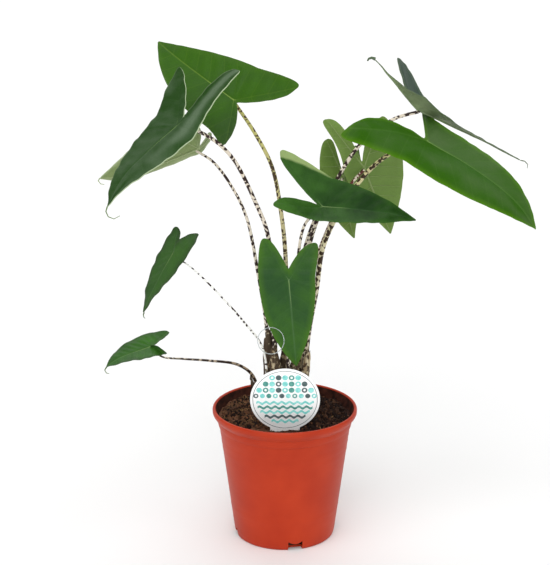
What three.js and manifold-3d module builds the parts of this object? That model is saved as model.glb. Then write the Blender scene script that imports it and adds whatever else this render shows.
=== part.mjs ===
// Alocasia zebrina in a nursery pot, with a plant label.
// Units are millimetres, +Z is up, and the origin is on the floor under the middle of the pot.
// The front of the pot faces -Y, where the label stands.

import * as THREE from 'three';
import { mergeVertices } from 'three/addons/utils/BufferGeometryUtils.js';
import Module from 'manifold-3d';

const wasm = await Module();
wasm.setup();

// ---------------------------------------------------------------- driving dimensions

const GAP = 0.3; // left between two pieces that touch

// pot
const POT_HEIGHT = 158;
const POT_RIM_R = 85; // outside of the rolled lip
const POT_NECK_R = 77; // wall just under the flare of the rim
const POT_FOOT_R = 59; // wall at the foot
const POT_WALL = 1.6;
const POT_FLOOR = 3;
const POT_SIDES = 56;
const FLARE_HEIGHT = 21; // from the neck up to the top of the rim
const DRAIN_COUNT = 4;
const DRAIN_WIDTH = 17;
const DRAIN_HEIGHT = 12;
const DRAIN_REACH = 10; // how far a drain slot runs in under the floor
const DRAIN_TURN = -78; // degrees round to the first slot, which lies near the front

// compost
const SOIL_LEVEL = 147; // at the wall
const SOIL_MOUND = 9; // how much higher it lies round the stems
const SOIL_RINGS = 7;
const SOIL_SIDES = 40;
const HOLE_DEPTH = 26; // how deep a petiole stands in the compost
const HOLE_SIDES = 12;

// label
const DISC_R = 40;
const LABEL_THICK = 0.9;
const STEM_WIDTH = 34;
const STEM_LENGTH = 36; // from the lowest point of the disc down to the point of the stem
const STEM_POINT = 16; // height of the pointed end
const LABEL_LEAN = 8; // degrees, forwards
const LABEL_AT = [0, -50, 185.5]; // the middle of the disc

// ring clip
const RING_R = 15; // middle of the wire
const WIRE_R = 0.6;
const RING_LEAN = 17; // degrees, backwards
const RING_AT = [-16.2, -45.6, 255.2];

// leaves
const BLADE_THICK = 0.8;
const SEAT_PART = 0.03; // how far along the midrib a petiole meets the blade
const PETIOLE_SIDES = 8;

const degrees = THREE.MathUtils.degToRad;
const vector = (list) => new THREE.Vector3(...list);

// ---------------------------------------------------------------- materials

function finish(colour, roughness) {
  return new THREE.MeshStandardMaterial({ color: colour, roughness, metalness: 0 });
}

// ---------------------------------------------------------------- solids

// A closed geometry as a manifold solid, with its shared vertices merged.
function toSolid(geometry) {
  const bare = geometry.clone();
  bare.deleteAttribute('normal');
  bare.deleteAttribute('uv');
  const merged = mergeVertices(bare, 1e-4);
  return new wasm.Manifold(new wasm.Mesh({
    numProp: 3,
    vertProperties: new Float32Array(merged.attributes.position.array),
    triVerts: new Uint32Array(merged.index.array),
  }));
}

function toGeometry(solid) {
  const { numProp, vertProperties, triVerts } = solid.getMesh();
  const geometry = new THREE.BufferGeometry();
  const points = new THREE.BufferAttribute(new Float32Array(vertProperties), numProp);
  geometry.setAttribute('position', points);
  geometry.setIndex(new THREE.BufferAttribute(new Uint32Array(triVerts), 1));
  geometry.computeVertexNormals();
  return geometry;
}

// The largest piece of a solid that a cut has left in several pieces.
function largestPiece(solid) {
  const pieces = solid.decompose();
  return pieces.reduce((best, piece) => (piece.volume() > best.volume() ? piece : best));
}

function indexedGeometry(points, triangles) {
  const geometry = new THREE.BufferGeometry();
  const numbers = points.flatMap((point) => [point.x, point.y, point.z]);
  geometry.setAttribute('position', new THREE.Float32BufferAttribute(numbers, 3));
  geometry.setIndex(triangles);
  geometry.computeVertexNormals();
  return geometry;
}

function turned(profile, sides) {
  const points = profile.map(([r, z]) => new THREE.Vector2(r, z));
  const geometry = new THREE.LatheGeometry(points, sides);
  geometry.rotateX(Math.PI / 2); // the lathe turns about Y
  return geometry;
}

// ---------------------------------------------------------------- pot

// Outside radius of the plain wall at a height.
function wallRadius(z) {
  const neck = POT_HEIGHT - FLARE_HEIGHT;
  return POT_FOOT_R + (POT_NECK_R - POT_FOOT_R) * (z / neck);
}

// The profile runs from the middle of the underside out, up the wall, over the lip, down the inside
// and back in over the floor.
function potGeometry() {
  const neck = POT_HEIGHT - FLARE_HEIGHT;
  const inside = (z) => wallRadius(z) - POT_WALL;
  const body = toSolid(turned([
    [0, 0],
    [POT_FOOT_R - 3, 0],
    [POT_FOOT_R - 0.6, 1.4],
    [POT_FOOT_R + 0.6, 5],
    [wallRadius(neck), neck],
    [POT_RIM_R - 6, neck + 7.5],
    [POT_RIM_R - 1.6, neck + 13],
    [POT_RIM_R, neck + 15.5],
    [POT_RIM_R, POT_HEIGHT - 1.4],
    [POT_RIM_R - 1.2, POT_HEIGHT],
    [POT_RIM_R - 2.8, POT_HEIGHT],
    [POT_RIM_R - 4, POT_HEIGHT - 1.6],
    [POT_RIM_R - 5.4, neck + 12],
    [POT_RIM_R - 8.4, neck + 7.5],
    [inside(neck), neck - 1],
    [inside(8), 8],
    [inside(8) - 3, POT_FLOOR],
    [0, POT_FLOOR],
  ], POT_SIDES));
  let pot = body;
  for (let i = 0; i < DRAIN_COUNT; i += 1) {
    const slot = new THREE.BoxGeometry(DRAIN_REACH, DRAIN_WIDTH, DRAIN_HEIGHT);
    slot.translate(POT_FOOT_R + 1 - DRAIN_REACH / 2, 0, DRAIN_HEIGHT / 2 - 1);
    slot.rotateZ(degrees(DRAIN_TURN + (360 * i) / DRAIN_COUNT));
    pot = pot.subtract(toSolid(slot));
  }
  return toGeometry(pot);
}

// ---------------------------------------------------------------- compost

// Height of the compost: highest round the stems, lower at the wall, a little uneven.
function soilHeight(x, y) {
  const reach = Math.hypot(x, y - 12) / 80;
  const mound = SOIL_MOUND * Math.exp(-3 * reach * reach);
  const uneven = 1.3 * Math.sin(x / 11 + 1) * Math.cos(y / 9) + 0.8 * Math.sin((x + 2 * y) / 7);
  return SOIL_LEVEL + mound + uneven;
}

// The compost fills the pot up to its uneven top, with a plain hole for each thing that stands in it.
function soilGeometry(standing) {
  const neck = POT_HEIGHT - FLARE_HEIGHT;
  const floorZ = POT_FLOOR + GAP;
  const inset = POT_WALL + GAP;
  const topRadius = POT_RIM_R - 7.6 - GAP;
  const points = [new THREE.Vector3(0, 0, floorZ)];
  const ringStarts = [];
  const addRing = (radius, height) => {
    ringStarts.push(points.length);
    for (let i = 0; i < SOIL_SIDES; i += 1) {
      const angle = (2 * Math.PI * i) / SOIL_SIDES;
      const x = radius * Math.cos(angle);
      const y = radius * Math.sin(angle);
      points.push(new THREE.Vector3(x, y, height ?? soilHeight(x, y)));
    }
  };
  addRing(wallRadius(8) - inset - 4, floorZ);
  addRing(wallRadius(10) - inset, 10);
  addRing(wallRadius(neck - 1) - inset, neck - 1);
  addRing(POT_RIM_R - 9.2 - GAP, neck + 7.5);
  for (let k = 0; k < SOIL_RINGS; k += 1) addRing(topRadius * (1 - k / SOIL_RINGS));
  const top = points.push(new THREE.Vector3(0, 0, soilHeight(0, 0))) - 1;
  const innerRing = ringStarts[ringStarts.length - 1];
  const triangles = [];
  for (let i = 0; i < SOIL_SIDES; i += 1) {
    const j = (i + 1) % SOIL_SIDES;
    triangles.push(0, ringStarts[0] + j, ringStarts[0] + i);
    for (let k = 0; k + 1 < ringStarts.length; k += 1) {
      const [a, b] = [ringStarts[k], ringStarts[k + 1]];
      triangles.push(a + i, a + j, b + j, a + i, b + j, b + i);
    }
    triangles.push(top, innerRing + i, innerRing + j);
  }
  let soil = toSolid(indexedGeometry(points, triangles));
  standing.forEach((thing) => {
    soil = soil.subtract(toSolid(thing));
  });
  return toGeometry(largestPiece(soil));
}

// ---------------------------------------------------------------- label

// A round card on a pointed flat stem, in one plane, before it is leant and placed.
function labelShape(grow) {
  const shape = new THREE.Shape();
  const half = STEM_WIDTH / 2 + grow;
  const radius = DISC_R + grow;
  const joinZ = -Math.sqrt(radius * radius - half * half);
  const turn = Math.asin(half / radius);
  const shoulderZ = -DISC_R - STEM_LENGTH + STEM_POINT;
  shape.moveTo(half, joinZ);
  shape.absarc(0, 0, radius, -Math.PI / 2 + turn, 1.5 * Math.PI - turn, false);
  shape.lineTo(-half, shoulderZ);
  shape.lineTo(0, -DISC_R - STEM_LENGTH - grow);
  shape.lineTo(half, shoulderZ);
  return shape;
}

function labelGeometry(grow) {
  const depth = LABEL_THICK + 2 * grow;
  const card = new THREE.ExtrudeGeometry(labelShape(grow), {
    depth,
    bevelEnabled: false,
    curveSegments: 40,
  });
  card.translate(0, 0, -depth / 2);
  card.rotateX(Math.PI / 2 + degrees(LABEL_LEAN));
  card.translate(...LABEL_AT);
  return card;
}

// ---------------------------------------------------------------- ring clip

function ringGeometry() {
  const ring = new THREE.TorusGeometry(RING_R, WIRE_R, 6, 32);
  ring.rotateX(Math.PI / 2 - degrees(RING_LEAN));
  ring.translate(...RING_AT);
  return ring;
}

// ---------------------------------------------------------------- leaf blade

// Rows of points across a blade, as parts of the way from the junction to the tip, and of the way
// from the junction back to the end of a lobe. The first lobe row after 0 lies on the sinus.
const FRONT_ROWS = [0, 0.12, 0.25, 0.4, 0.55, 0.69, 0.81, 0.9, 0.96, 1];
const LOBE_ROWS = [0, 0.22, 0.42, 0.6, 0.76, 0.88, 0.96, 0.99, 1];
const COLUMNS = 3;
const TIP_HALF = 0.7; // half the width that is left at the tip and at the end of a lobe

// The frame that a blade is laid out in: its midrib, its side and its upper direction.
function bladeFrame(leaf) {
  const from = vector(leaf.junction);
  const to = vector(leaf.tip);
  const chord = to.clone().sub(from);
  const along = chord.clone().normalize();
  const side = vector(leaf.lobes[1]).sub(vector(leaf.lobes[0]));
  side.addScaledVector(along, -side.dot(along)).normalize();
  side.applyAxisAngle(along, -degrees(leaf.roll));
  const up = side.clone().cross(along);
  const offChord = (part, lean) => from.clone().addScaledVector(chord, part)
    .addScaledVector(up, lean * leaf.arch).addScaledVector(side, lean * leaf.sweep);
  const midrib = new THREE.CubicBezierCurve3(from, offChord(1 / 3, 0.6), offChord(2 / 3, 2), to);
  const frameAt = (t) => {
    const forward = midrib.getTangent(t);
    const across = side.clone().addScaledVector(forward, -side.dot(forward)).normalize();
    across.applyAxisAngle(forward, -degrees(leaf.twist) * t ** 0.5);
    return { at: midrib.getPoint(t), forward, across, up: across.clone().cross(forward) };
  };
  return { length: chord.length(), frameAt };
}

// The section of one half of the blade: how far across and how far up a point lies that is
// `reach` from the midrib along the surface.
function section(reach, half, foldDegrees, curlDegrees) {
  const fold = degrees(foldDegrees);
  const curl = degrees(curlDegrees);
  if (Math.abs(curl) < 1e-3) return [reach * Math.cos(fold), reach * Math.sin(fold)];
  const radius = half / curl;
  const turn = fold + (curl * reach) / half;
  return [radius * (Math.sin(turn) - Math.sin(fold)), radius * (Math.cos(fold) - Math.cos(turn))];
}

// One point of the blade's middle surface ahead of the junction, t of the way to the tip.
function frontPoint(leaf, frame, hand, t, column) {
  const index = hand < 0 ? 0 : 1;
  const width = TIP_HALF + (leaf.half[index] - TIP_HALF) * (1 - t ** leaf.taper[index]);
  const fold = leaf.fold[index] * (1 - t) ** leaf.flatten;
  const { at, across, up } = frame.frameAt(t);
  const [out, lift] = section(width * column, leaf.half[index], fold, leaf.curl[index]);
  return at.addScaledVector(across, hand * out).addScaledVector(up, lift);
}

// One point of a posterior lobe, s of the way back to its end. Both lobes are one web up to the
// sinus, and stand apart behind it.
function lobePoint(leaf, frame, hand, s, column) {
  const index = hand < 0 ? 0 : 1;
  const half = leaf.half[index];
  const fold = leaf.fold[index];
  const curl = leaf.curl[index];
  const { at, forward, across, up } = frame.frameAt(0);
  const reach = vector(leaf.lobes[index]).sub(at);
  const back = -reach.dot(forward);
  const spread = (hand * reach.dot(across)) / Math.cos(degrees(fold + curl / 2));
  const rise = reach.dot(up) - section(spread, half, fold, curl)[1];
  const q = Math.max(0, (s - leaf.web) / (1 - leaf.web));
  const gape = leaf.gape[index];
  const leaning = gape * q + (1 - gape) * (0.6 * q * q + 0.4 * (1 - Math.sqrt(1 - q ** 8)));
  const rounding = leaf.round[index] * (1 - Math.sqrt(1 - s ** 12));
  const inner = (spread - leaf.round[index] - TIP_HALF) * leaning + rounding;
  const outer = half + (spread + leaf.round[index] + TIP_HALF - half) * s ** 1.5
    + leaf.bulge[index] * half * s * (1 - s) - rounding;
  const [out, lift] = section(inner + (outer - inner) * column, half, fold, curl);
  return at
    .addScaledVector(forward, -back * s)
    .addScaledVector(across, hand * out)
    .addScaledVector(up, lift + rise * s ** 1.3);
}

// The blade as a closed sheet. Both faces have the same triangles.
function bladeGeometry(leaf, thickness) {
  const frame = bladeFrame(leaf);
  const middle = [];
  const triangles = [];
  const lookUp = new Map();
  const lobeRows = LOBE_ROWS.map((part) => leaf.web + (1 - leaf.web) * part);
  const rows = [...lobeRows.map((row) => -row).reverse(), ...FRONT_ROWS];
  const vertexOf = (hand, row, column) => {
    const onMidline = column === 0 && row >= -leaf.web;
    const key = `${onMidline ? 0 : hand}/${row}/${column}`;
    if (!lookUp.has(key)) {
      lookUp.set(key, middle.length);
      const pointOf = row < 0 ? lobePoint : frontPoint;
      middle.push(pointOf(leaf, frame, hand, Math.abs(row), column / COLUMNS));
    }
    return lookUp.get(key);
  };
  [-1, 1].forEach((hand) => {
    for (let i = 0; i + 1 < rows.length; i += 1) {
      for (let j = 0; j < COLUMNS; j += 1) {
        const a = vertexOf(hand, rows[i], j);
        const b = vertexOf(hand, rows[i + 1], j);
        const c = vertexOf(hand, rows[i + 1], j + 1);
        const d = vertexOf(hand, rows[i], j + 1);
        if (hand > 0) triangles.push([a, c, b], [a, d, c]);
        else triangles.push([a, b, c], [a, c, d]);
      }
    }
  });
  return thickened(middle, triangles, thickness);
}

// A sheet of triangles given a thickness along its own normals, with its rim closed.
function thickened(middle, triangles, thickness) {
  const normals = middle.map(() => new THREE.Vector3());
  const edges = new Map();
  triangles.forEach(([a, b, c]) => {
    const normal = middle[b].clone().sub(middle[a]).cross(middle[c].clone().sub(middle[a]));
    [a, b, c].forEach((index) => normals[index].add(normal));
    [[a, b], [b, c], [c, a]].forEach(([p, q]) => edges.set(`${p}/${q}`, [p, q]));
  });
  const points = [];
  [0.5, -0.5].forEach((part) => middle.forEach((point, index) => {
    const normal = normals[index].clone().normalize();
    points.push(point.clone().addScaledVector(normal, part * thickness));
  }));
  const count = middle.length;
  const faces = triangles.flatMap(([a, b, c]) => [a, b, c, a + count, c + count, b + count]);
  edges.forEach(([p, q]) => {
    if (edges.has(`${q}/${p}`)) return;
    faces.push(p, p + count, q + count, p, q + count, q);
  });
  return indexedGeometry(points, faces);
}

// ---------------------------------------------------------------- petiole

// A tapering round stalk along a smooth route, closed at both ends.
function stalkGeometry(route, [rootRadius, topRadius], sides, steps) {
  const curve = new THREE.CatmullRomCurve3(route.map(vector), false, 'centripetal');
  const { normals, binormals } = curve.computeFrenetFrames(steps, false);
  const points = [];
  const triangles = [];
  for (let i = 0; i <= steps; i += 1) {
    const t = i / steps;
    const centre = curve.getPointAt(t);
    const radius = rootRadius + (topRadius - rootRadius) * t ** 0.7;
    for (let j = 0; j < sides; j += 1) {
      const angle = (2 * Math.PI * j) / sides;
      points.push(centre.clone()
        .addScaledVector(normals[i], radius * Math.cos(angle))
        .addScaledVector(binormals[i], radius * Math.sin(angle)));
    }
  }
  const first = points.push(curve.getPointAt(0)) - 1;
  const last = points.push(curve.getPointAt(1)) - 1;
  for (let j = 0; j < sides; j += 1) {
    const k = (j + 1) % sides;
    triangles.push(first, k, j);
    for (let i = 0; i < steps; i += 1) {
      const [a, b] = [i * sides, (i + 1) * sides];
      triangles.push(a + j, a + k, b + k, a + j, b + k, b + j);
    }
    triangles.push(last, steps * sides + j, steps * sides + k);
  }
  return indexedGeometry(points, triangles);
}

// The petiole of a leaf, from its hole in the compost up to just under the junction.
function petioleGeometry(leaf) {
  const { route, radius, steps } = leaf.petiole;
  const [x, y] = route[0];
  const sunk = [x, y, soilHeight(x, y) - HOLE_DEPTH + GAP];
  const seat = bladeFrame(leaf).frameAt(SEAT_PART).at;
  const full = [sunk, ...route, seat.toArray()];
  const stalk = toSolid(stalkGeometry(full, radius, PETIOLE_SIDES, steps));
  const blade = toSolid(bladeGeometry(leaf, BLADE_THICK + 3 * GAP));
  return toGeometry(largestPiece(stalk.subtract(blade)));
}

// The cutter for the hole that a petiole stands in. It comes out well above the compost.
function holeFor(leaf) {
  const [x, y] = leaf.petiole.route[0];
  const radius = leaf.petiole.radius[0] / Math.cos(Math.PI / PETIOLE_SIDES) + GAP;
  const height = HOLE_DEPTH + 10;
  const hole = new THREE.CylinderGeometry(radius, radius, height, HOLE_SIDES);
  hole.rotateX(Math.PI / 2);
  hole.translate(x, y, soilHeight(x, y) - HOLE_DEPTH + height / 2);
  return hole;
}

// ---------------------------------------------------------------- the eleven leaves

// Left and right are as seen along the midrib from the junction, with the upper face up, and pairs
// of values are left first.
//   junction, tip   where the petiole meets the blade, and the end of the midrib
//   lobes           the ends of the two posterior lobes
//   half            the half widths at the junction
//   taper           how full the half stays towards the tip: 1 is straight, more is fuller
//   fold, flatten   degrees that a half rises from flat, and how soon that ends towards the tip
//   curl            degrees that a half turns further by its margin
//   arch, sweep     how far the midrib stands off its chord, upwards and to the right
//   roll, twist     degrees that the whole blade, and only its front end, turns about the midrib
//   web             how much of the way back the two lobes are joined
//   bulge, gape     how full a lobe is along its outer side, and how wide the sinus opens
//   round           half the width of a lobe's rounded end
//   petiole         points of its route above the compost, its radius at each end, its steps
const PLAIN_LEAF = {
  fold: [8, 8], curl: [0, 0], flatten: 0.5, arch: 5, sweep: 0, roll: 0, twist: 0,
  taper: [1.9, 1.9], web: 0.1, bulge: [0.15, 0.15], gape: [0.4, 0.4],
  round: [4, 4],
};

const LEAVES = {
  back_left: {
    colour: '#4d8a2f',
    junction: [-58, 25, 518],
    tip: [-148, 122, 568],
    lobes: [[-68, -20, 477], [14, -10, 540]],
    half: [44, 45], sweep: -2, taper: [2.4, 1.3], bulge: [0, 0.3], gape: [0.4, 0.6],
    petiole: {
      colour: '#9c9a6a',
      route: [[-2, 6, 165], [-1, 6, 238], [1, 8, 329], [-4, 9, 387], [-15, 12, 444], [-35, 17, 483]],
      radius: [3.6, 2], steps: 22,
    },
  },
  upper_left: {
    colour: '#44643f',
    junction: [-119, -50, 504],
    tip: [-191, -110, 429],
    lobes: [[-50, -45, 564], [-118, 20, 556]],
    half: [32, 38], web: 0.2, fold: [0, 6], curl: [-25, 0], arch: 6, sweep: 5,
    taper: [2.5, 1.3], bulge: [-0.9, 0.75], gape: [0.25, 0.7], round: [3, 1.5],
    petiole: {
      colour: '#8a7d60',
      route: [[-11, -8, 165], [-12, -9, 245], [-19, -11, 367], [-33, -18, 409], [-62, -33, 469],
        [-96, -48, 498]],
      radius: [3.6, 1.9], steps: 22,
    },
  },
  hidden_left: {
    colour: '#8fa071',
    junction: [-98, 3, 467],
    tip: [-207, -22, 439],
    lobes: [[-96, 22, 484], [-84, 32, 478]],
    half: [46, 11], fold: [10, 8], flatten: 1.6, sweep: 14, taper: [5.5, 5],
    bulge: [0.15, 0.2], gape: [0.4, 0.1], round: [4, 5],
    petiole: {
      colour: '#8a7d60',
      route: [[-19, -1, 165], [-21, -2, 253], [-31, -2, 322], [-44, 0, 388], [-60, 0, 423],
        [-81, 1, 452]],
      radius: [3.2, 1.4], steps: 20,
    },
  },
  small_left: {
    colour: '#315a30',
    junction: [-127, -21, 352],
    tip: [-159, -48, 290],
    lobes: [[-97, -42, 380], [-123, 4, 375]],
    half: [22, 24], fold: [-15, 8], arch: 3, web: 0.38, gape: [0.6, 0.5], round: [2.5, 2.5],
    petiole: {
      colour: '#6f7a4c',
      route: [[-20, -13, 165], [-26, -12, 235], [-48, -14, 268], [-79, -16, 305], [-106, -18, 333]],
      radius: [1.9, 0.8], steps: 18,
    },
  },
  low_left: {
    colour: '#34602c',
    junction: [-154, -25, 241],
    tip: [-202, -62, 229],
    lobes: [[-136, -50, 244], [-135, 6, 248]],
    half: [23, 22], fold: [-12, 25], arch: 4, taper: [3, 1.9], gape: [0, 1.2], round: [6, 2.5],
    petiole: {
      colour: '#4e4438',
      route: [[-31, 34, 156], [-33, 34, 171], [-40, 33, 187], [-56, 28, 200], [-88, 8, 212],
        [-119, -8, 220], [-142, -20, 227]],
      radius: [2.6, 0.9], steps: 18,
    },
  },
  front: {
    colour: '#2f6130',
    junction: [4, -30, 322],
    tip: [13, -38, 222],
    lobes: [[33, -22, 364], [-24, -22, 369]],
    half: [30, 34], arch: 3, taper: [1.9, 2.3], web: 0.28, bulge: [0.2, 0.1], gape: [0.6, 0.7],
    round: [4.5, 3.5],
    petiole: {
      colour: '#8a7d60',
      route: [[4, -10, 165], [4, -11, 240], [3, -15, 290]],
      radius: [3, 1.6], steps: 14,
    },
  },
  middle: {
    colour: '#225226',
    junction: [42, -28, 408],
    tip: [143, -68, 403],
    lobes: [[-6, 8, 462], [-13, -72, 423]],
    half: [40, 29], fold: [12, 8], arch: 4, taper: [1.4, 2.5], bulge: [0.35, 0.05], gape: [0.8, 0.4],
    round: [5, 6.5],
    petiole: {
      colour: '#8a7d60',
      route: [[11, -6, 165], [12, -6, 236], [14, -8, 292], [16, -14, 356], [24, -20, 388]],
      radius: [3, 1.5], steps: 20,
    },
  },
  right: {
    colour: '#34752a',
    junction: [158, -20, 481],
    tip: [276, -62, 391],
    lobes: [[158, 53, 500], [60, -60, 497]],
    half: [38, 60], fold: [6, 16], curl: [0, -32], arch: 12, taper: [3.8, 2.9], web: 0.08,
    gape: [1, -0.1], round: [3, 5],
    petiole: {
      colour: '#9a8b6c',
      route: [[22, 1, 165], [26, 1, 240], [36, 1, 301], [45, 0, 358], [79, -3, 424], [110, -9, 459],
        [140, -15, 475]],
      radius: [4.2, 2.2], steps: 24,
    },
  },
  upper_right: {
    colour: '#5f7a52',
    junction: [150, 30, 507],
    tip: [269, 22, 449],
    lobes: [[128, 58, 560], [99, -6, 570]],
    half: [44, 34], fold: [38, 14], flatten: 4, arch: 1, roll: 25, twist: -12, taper: [1.1, 1.1],
    bulge: [1.3, -0.9], gape: [0.4, 1.2], round: [3.5, 2],
    petiole: {
      colour: '#8a7d60',
      route: [[15, 12, 165], [18, 12, 230], [24, 16, 327], [36, 19, 377], [59, 22, 426], [85, 26, 466],
        [122, 28, 495]],
      radius: [3.6, 1.9], steps: 24,
    },
  },
  back_right: {
    colour: '#74934f',
    junction: [91, 46, 436],
    tip: [126, 82, 346],
    lobes: [[45, 28, 495], [110, 44, 495]],
    half: [24, 48], arch: 6, bulge: [-0.9, 0.15], gape: [0, 0.4], round: [6, 4],
    petiole: {
      colour: '#8f6f5c',
      route: [[19, 20, 165], [21, 20, 227], [28, 24, 294], [38, 28, 334], [52, 33, 371], [75, 41, 415]],
      radius: [3.2, 1.7], steps: 20,
    },
  },
  back_middle: {
    colour: '#6d8c4a',
    junction: [68, 76, 418],
    tip: [84, 105, 334],
    lobes: [[49, 62, 465], [82, 84, 452]],
    half: [28, 28], arch: 6, gape: [0.9, 0.5], round: [6, 3],
    petiole: {
      colour: '#8a7d60',
      route: [[8, 22, 165], [12, 24, 227], [15, 30, 293], [26, 42, 350], [48, 60, 396]],
      radius: [3, 1.6], steps: 20,
    },
  },
};

// ---------------------------------------------------------------- the object

const object = new THREE.Group();

function add(name, geometry, material) {
  const mesh = new THREE.Mesh(geometry, material);
  mesh.name = name;
  object.add(mesh);
}

add('pot', potGeometry(), finish('#bf4428', 0.45));
add('label', labelGeometry(0), finish('#f4f7f6', 0.4));
add('ring', ringGeometry(), finish('#c9d3cf', 0.25));

const leaves = Object.entries(LEAVES).map(([name, leaf]) => [name, { ...PLAIN_LEAF, ...leaf }]);
const holes = [labelGeometry(GAP), ...leaves.map(([, leaf]) => holeFor(leaf))];
add('soil', soilGeometry(holes), finish('#3a2a22', 0.95));

leaves.forEach(([name, leaf]) => {
  add(`blade_${name}`, bladeGeometry(leaf, BLADE_THICK), finish(leaf.colour, 0.35));
  add(`petiole_${name}`, petioleGeometry(leaf), finish(leaf.petiole.colour, 0.5));
});

export default object;
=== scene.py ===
import math
import random
from functools import partial

import bpy
import numpy as np
from mathutils import Matrix, Quaternion, Vector, noise


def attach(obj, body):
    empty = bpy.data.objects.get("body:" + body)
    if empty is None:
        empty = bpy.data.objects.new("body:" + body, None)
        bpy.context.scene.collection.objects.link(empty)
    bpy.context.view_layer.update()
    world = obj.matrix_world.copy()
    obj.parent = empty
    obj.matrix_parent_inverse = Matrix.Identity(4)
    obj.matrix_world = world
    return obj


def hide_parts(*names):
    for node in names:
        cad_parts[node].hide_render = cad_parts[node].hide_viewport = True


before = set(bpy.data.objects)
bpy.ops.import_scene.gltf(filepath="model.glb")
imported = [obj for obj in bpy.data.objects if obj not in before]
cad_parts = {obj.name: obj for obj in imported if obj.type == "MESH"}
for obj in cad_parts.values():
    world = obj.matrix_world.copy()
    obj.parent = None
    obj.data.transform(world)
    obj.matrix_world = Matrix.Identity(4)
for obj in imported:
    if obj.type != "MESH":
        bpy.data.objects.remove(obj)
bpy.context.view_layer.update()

bpy.ops.object.select_all(action="DESELECT")

MM = 0.001


# ---------------------------------------------------------------- studio
# A plain pale floor under soft white light, and a camera on a long lens two metres in front,
# looking a little down on the plant.

AIM = Vector((-11.5, 0, 310.3)) * MM
CAMERA_DISTANCE = 2.0
CAMERA_PITCH = math.radians(17.13)
LENS = 113.8
looking = Vector((0, math.cos(CAMERA_PITCH), -math.sin(CAMERA_PITCH)))

camera_data = bpy.data.cameras.new("camera")
camera_data.sensor_fit = "HORIZONTAL"
camera_data.sensor_width = 36
camera_data.lens = LENS
camera = bpy.data.objects.new("camera", camera_data)
camera.location = AIM - looking * CAMERA_DISTANCE
camera.rotation_euler = (math.pi / 2 - CAMERA_PITCH, 0, 0)
bpy.context.collection.objects.link(camera)
bpy.context.scene.camera = camera


def linear(colour):
    """An sRGB hex colour as linear red, green, blue and alpha."""
    parts = [int(colour[i:i + 2], 16) / 255 for i in (1, 3, 5)]
    return [p / 12.92 if p <= 0.04045 else ((p + 0.055) / 1.055) ** 2.4 for p in parts] + [1]


def add_node(tree, kind, inputs=None, out=0, stops=(), **settings):
    """Adds a node and returns one of its outputs. An input takes a value, a hex colour or the socket
    that feeds it. The stops of a colour ramp are places and hex colours."""
    new = tree.nodes.new("ShaderNode" + kind)
    for name, value in settings.items():
        setattr(new, name, value)
    for i, (place, colour) in enumerate(stops):
        new.color_ramp.elements[i].position = place
        new.color_ramp.elements[i].color = linear(colour)
    for name, value in (inputs or {}).items():
        if isinstance(value, bpy.types.NodeSocket):
            tree.links.new(value, new.inputs[name])
        else:
            new.inputs[name].default_value = linear(value) if isinstance(value, str) else value
    return new.outputs[out] if new.outputs else None


def new_material(name):
    """A material with an empty tree, and the function that adds nodes to it."""
    material = bpy.data.materials.new(name)
    material.use_nodes = True
    material.node_tree.nodes.clear()
    return material, partial(add_node, material.node_tree)


def with_surface(material, add, inputs):
    """Gives a material its shader and returns it."""
    add("OutputMaterial", {"Surface": add("BsdfPrincipled", inputs)})
    return material


def paper_floor():
    """Matt white background paper."""
    material, add = new_material("paper_matt_white")
    return with_surface(material, add, {"Base Color": "#f4f4f4", "Roughness": 0.9})


bpy.ops.mesh.primitive_plane_add(size=12, location=(0, 0, 0))
floor = bpy.context.object
floor.name = "floor"
floor.data.materials.append(paper_floor())
floor.select_set(False)

world = bpy.data.worlds.new("white_room")
world.use_nodes = True
world.node_tree.nodes["Background"].inputs["Color"].default_value = (1, 1, 1, 1)
world.node_tree.nodes["Background"].inputs["Strength"].default_value = 0.42
bpy.context.scene.world = world


def soft_lamp(name, toward, strength, spread):
    """Wide soft light from one direction, the same all over the floor."""
    lamp = bpy.data.lights.new(name, "SUN")
    lamp.energy = strength
    lamp.angle = math.radians(spread)
    holder = bpy.data.objects.new(name, lamp)
    holder.rotation_euler = Vector(toward).to_track_quat("Z", "Y").to_euler()
    bpy.context.collection.objects.link(holder)


soft_lamp("key_lamp", (-0.5, -0.8, 1.1), 1.1, 50)
soft_lamp("front_lamp", (0, -1, 0.55), 0.75, 40)
soft_lamp("fill_lamp", (0.8, -0.6, 0.9), 0.6, 70)
soft_lamp("back_lamp", (0.1, 0.9, 1.2), 0.95, 70)
bpy.context.scene.view_settings.view_transform = "Standard"


# ---------------------------------------------------------------- pot
# A nursery pot of thin terracotta-coloured polypropylene, injection moulded in one piece with a
# rolled rim, faint rings round the wall and four drain slots at the foot. It carries all the rest.

POT_HEIGHT = 158
POT_RIM_R = 85  # outside of the rolled lip
POT_NECK_R = 77  # wall just under the flare of the rim
POT_FOOT_R = 59  # wall at the foot
POT_WALL = 1.6
POT_FLOOR = 3
FLARE_HEIGHT = 21
NECK_Z = POT_HEIGHT - FLARE_HEIGHT
POT_SIDES = 160
DRAIN_COUNT = 4
DRAIN_SIZE = (10, 17, 12)  # reach in under the floor, width, height
DRAIN_TURN = math.radians(-78)
RING_HEIGHTS = (37, 109, 118, 128)
RING_RISE = 0.25
RING_SPREAD = 2.2
DARKER_INSIDE = (12, 155.5)  # heights between which the inside of the wall is darker and duller


def wall_radius(z):
    """Outside radius of the pot's plain wall at a height."""
    return POT_FOOT_R + (POT_NECK_R - POT_FOOT_R) * z / NECK_Z


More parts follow.
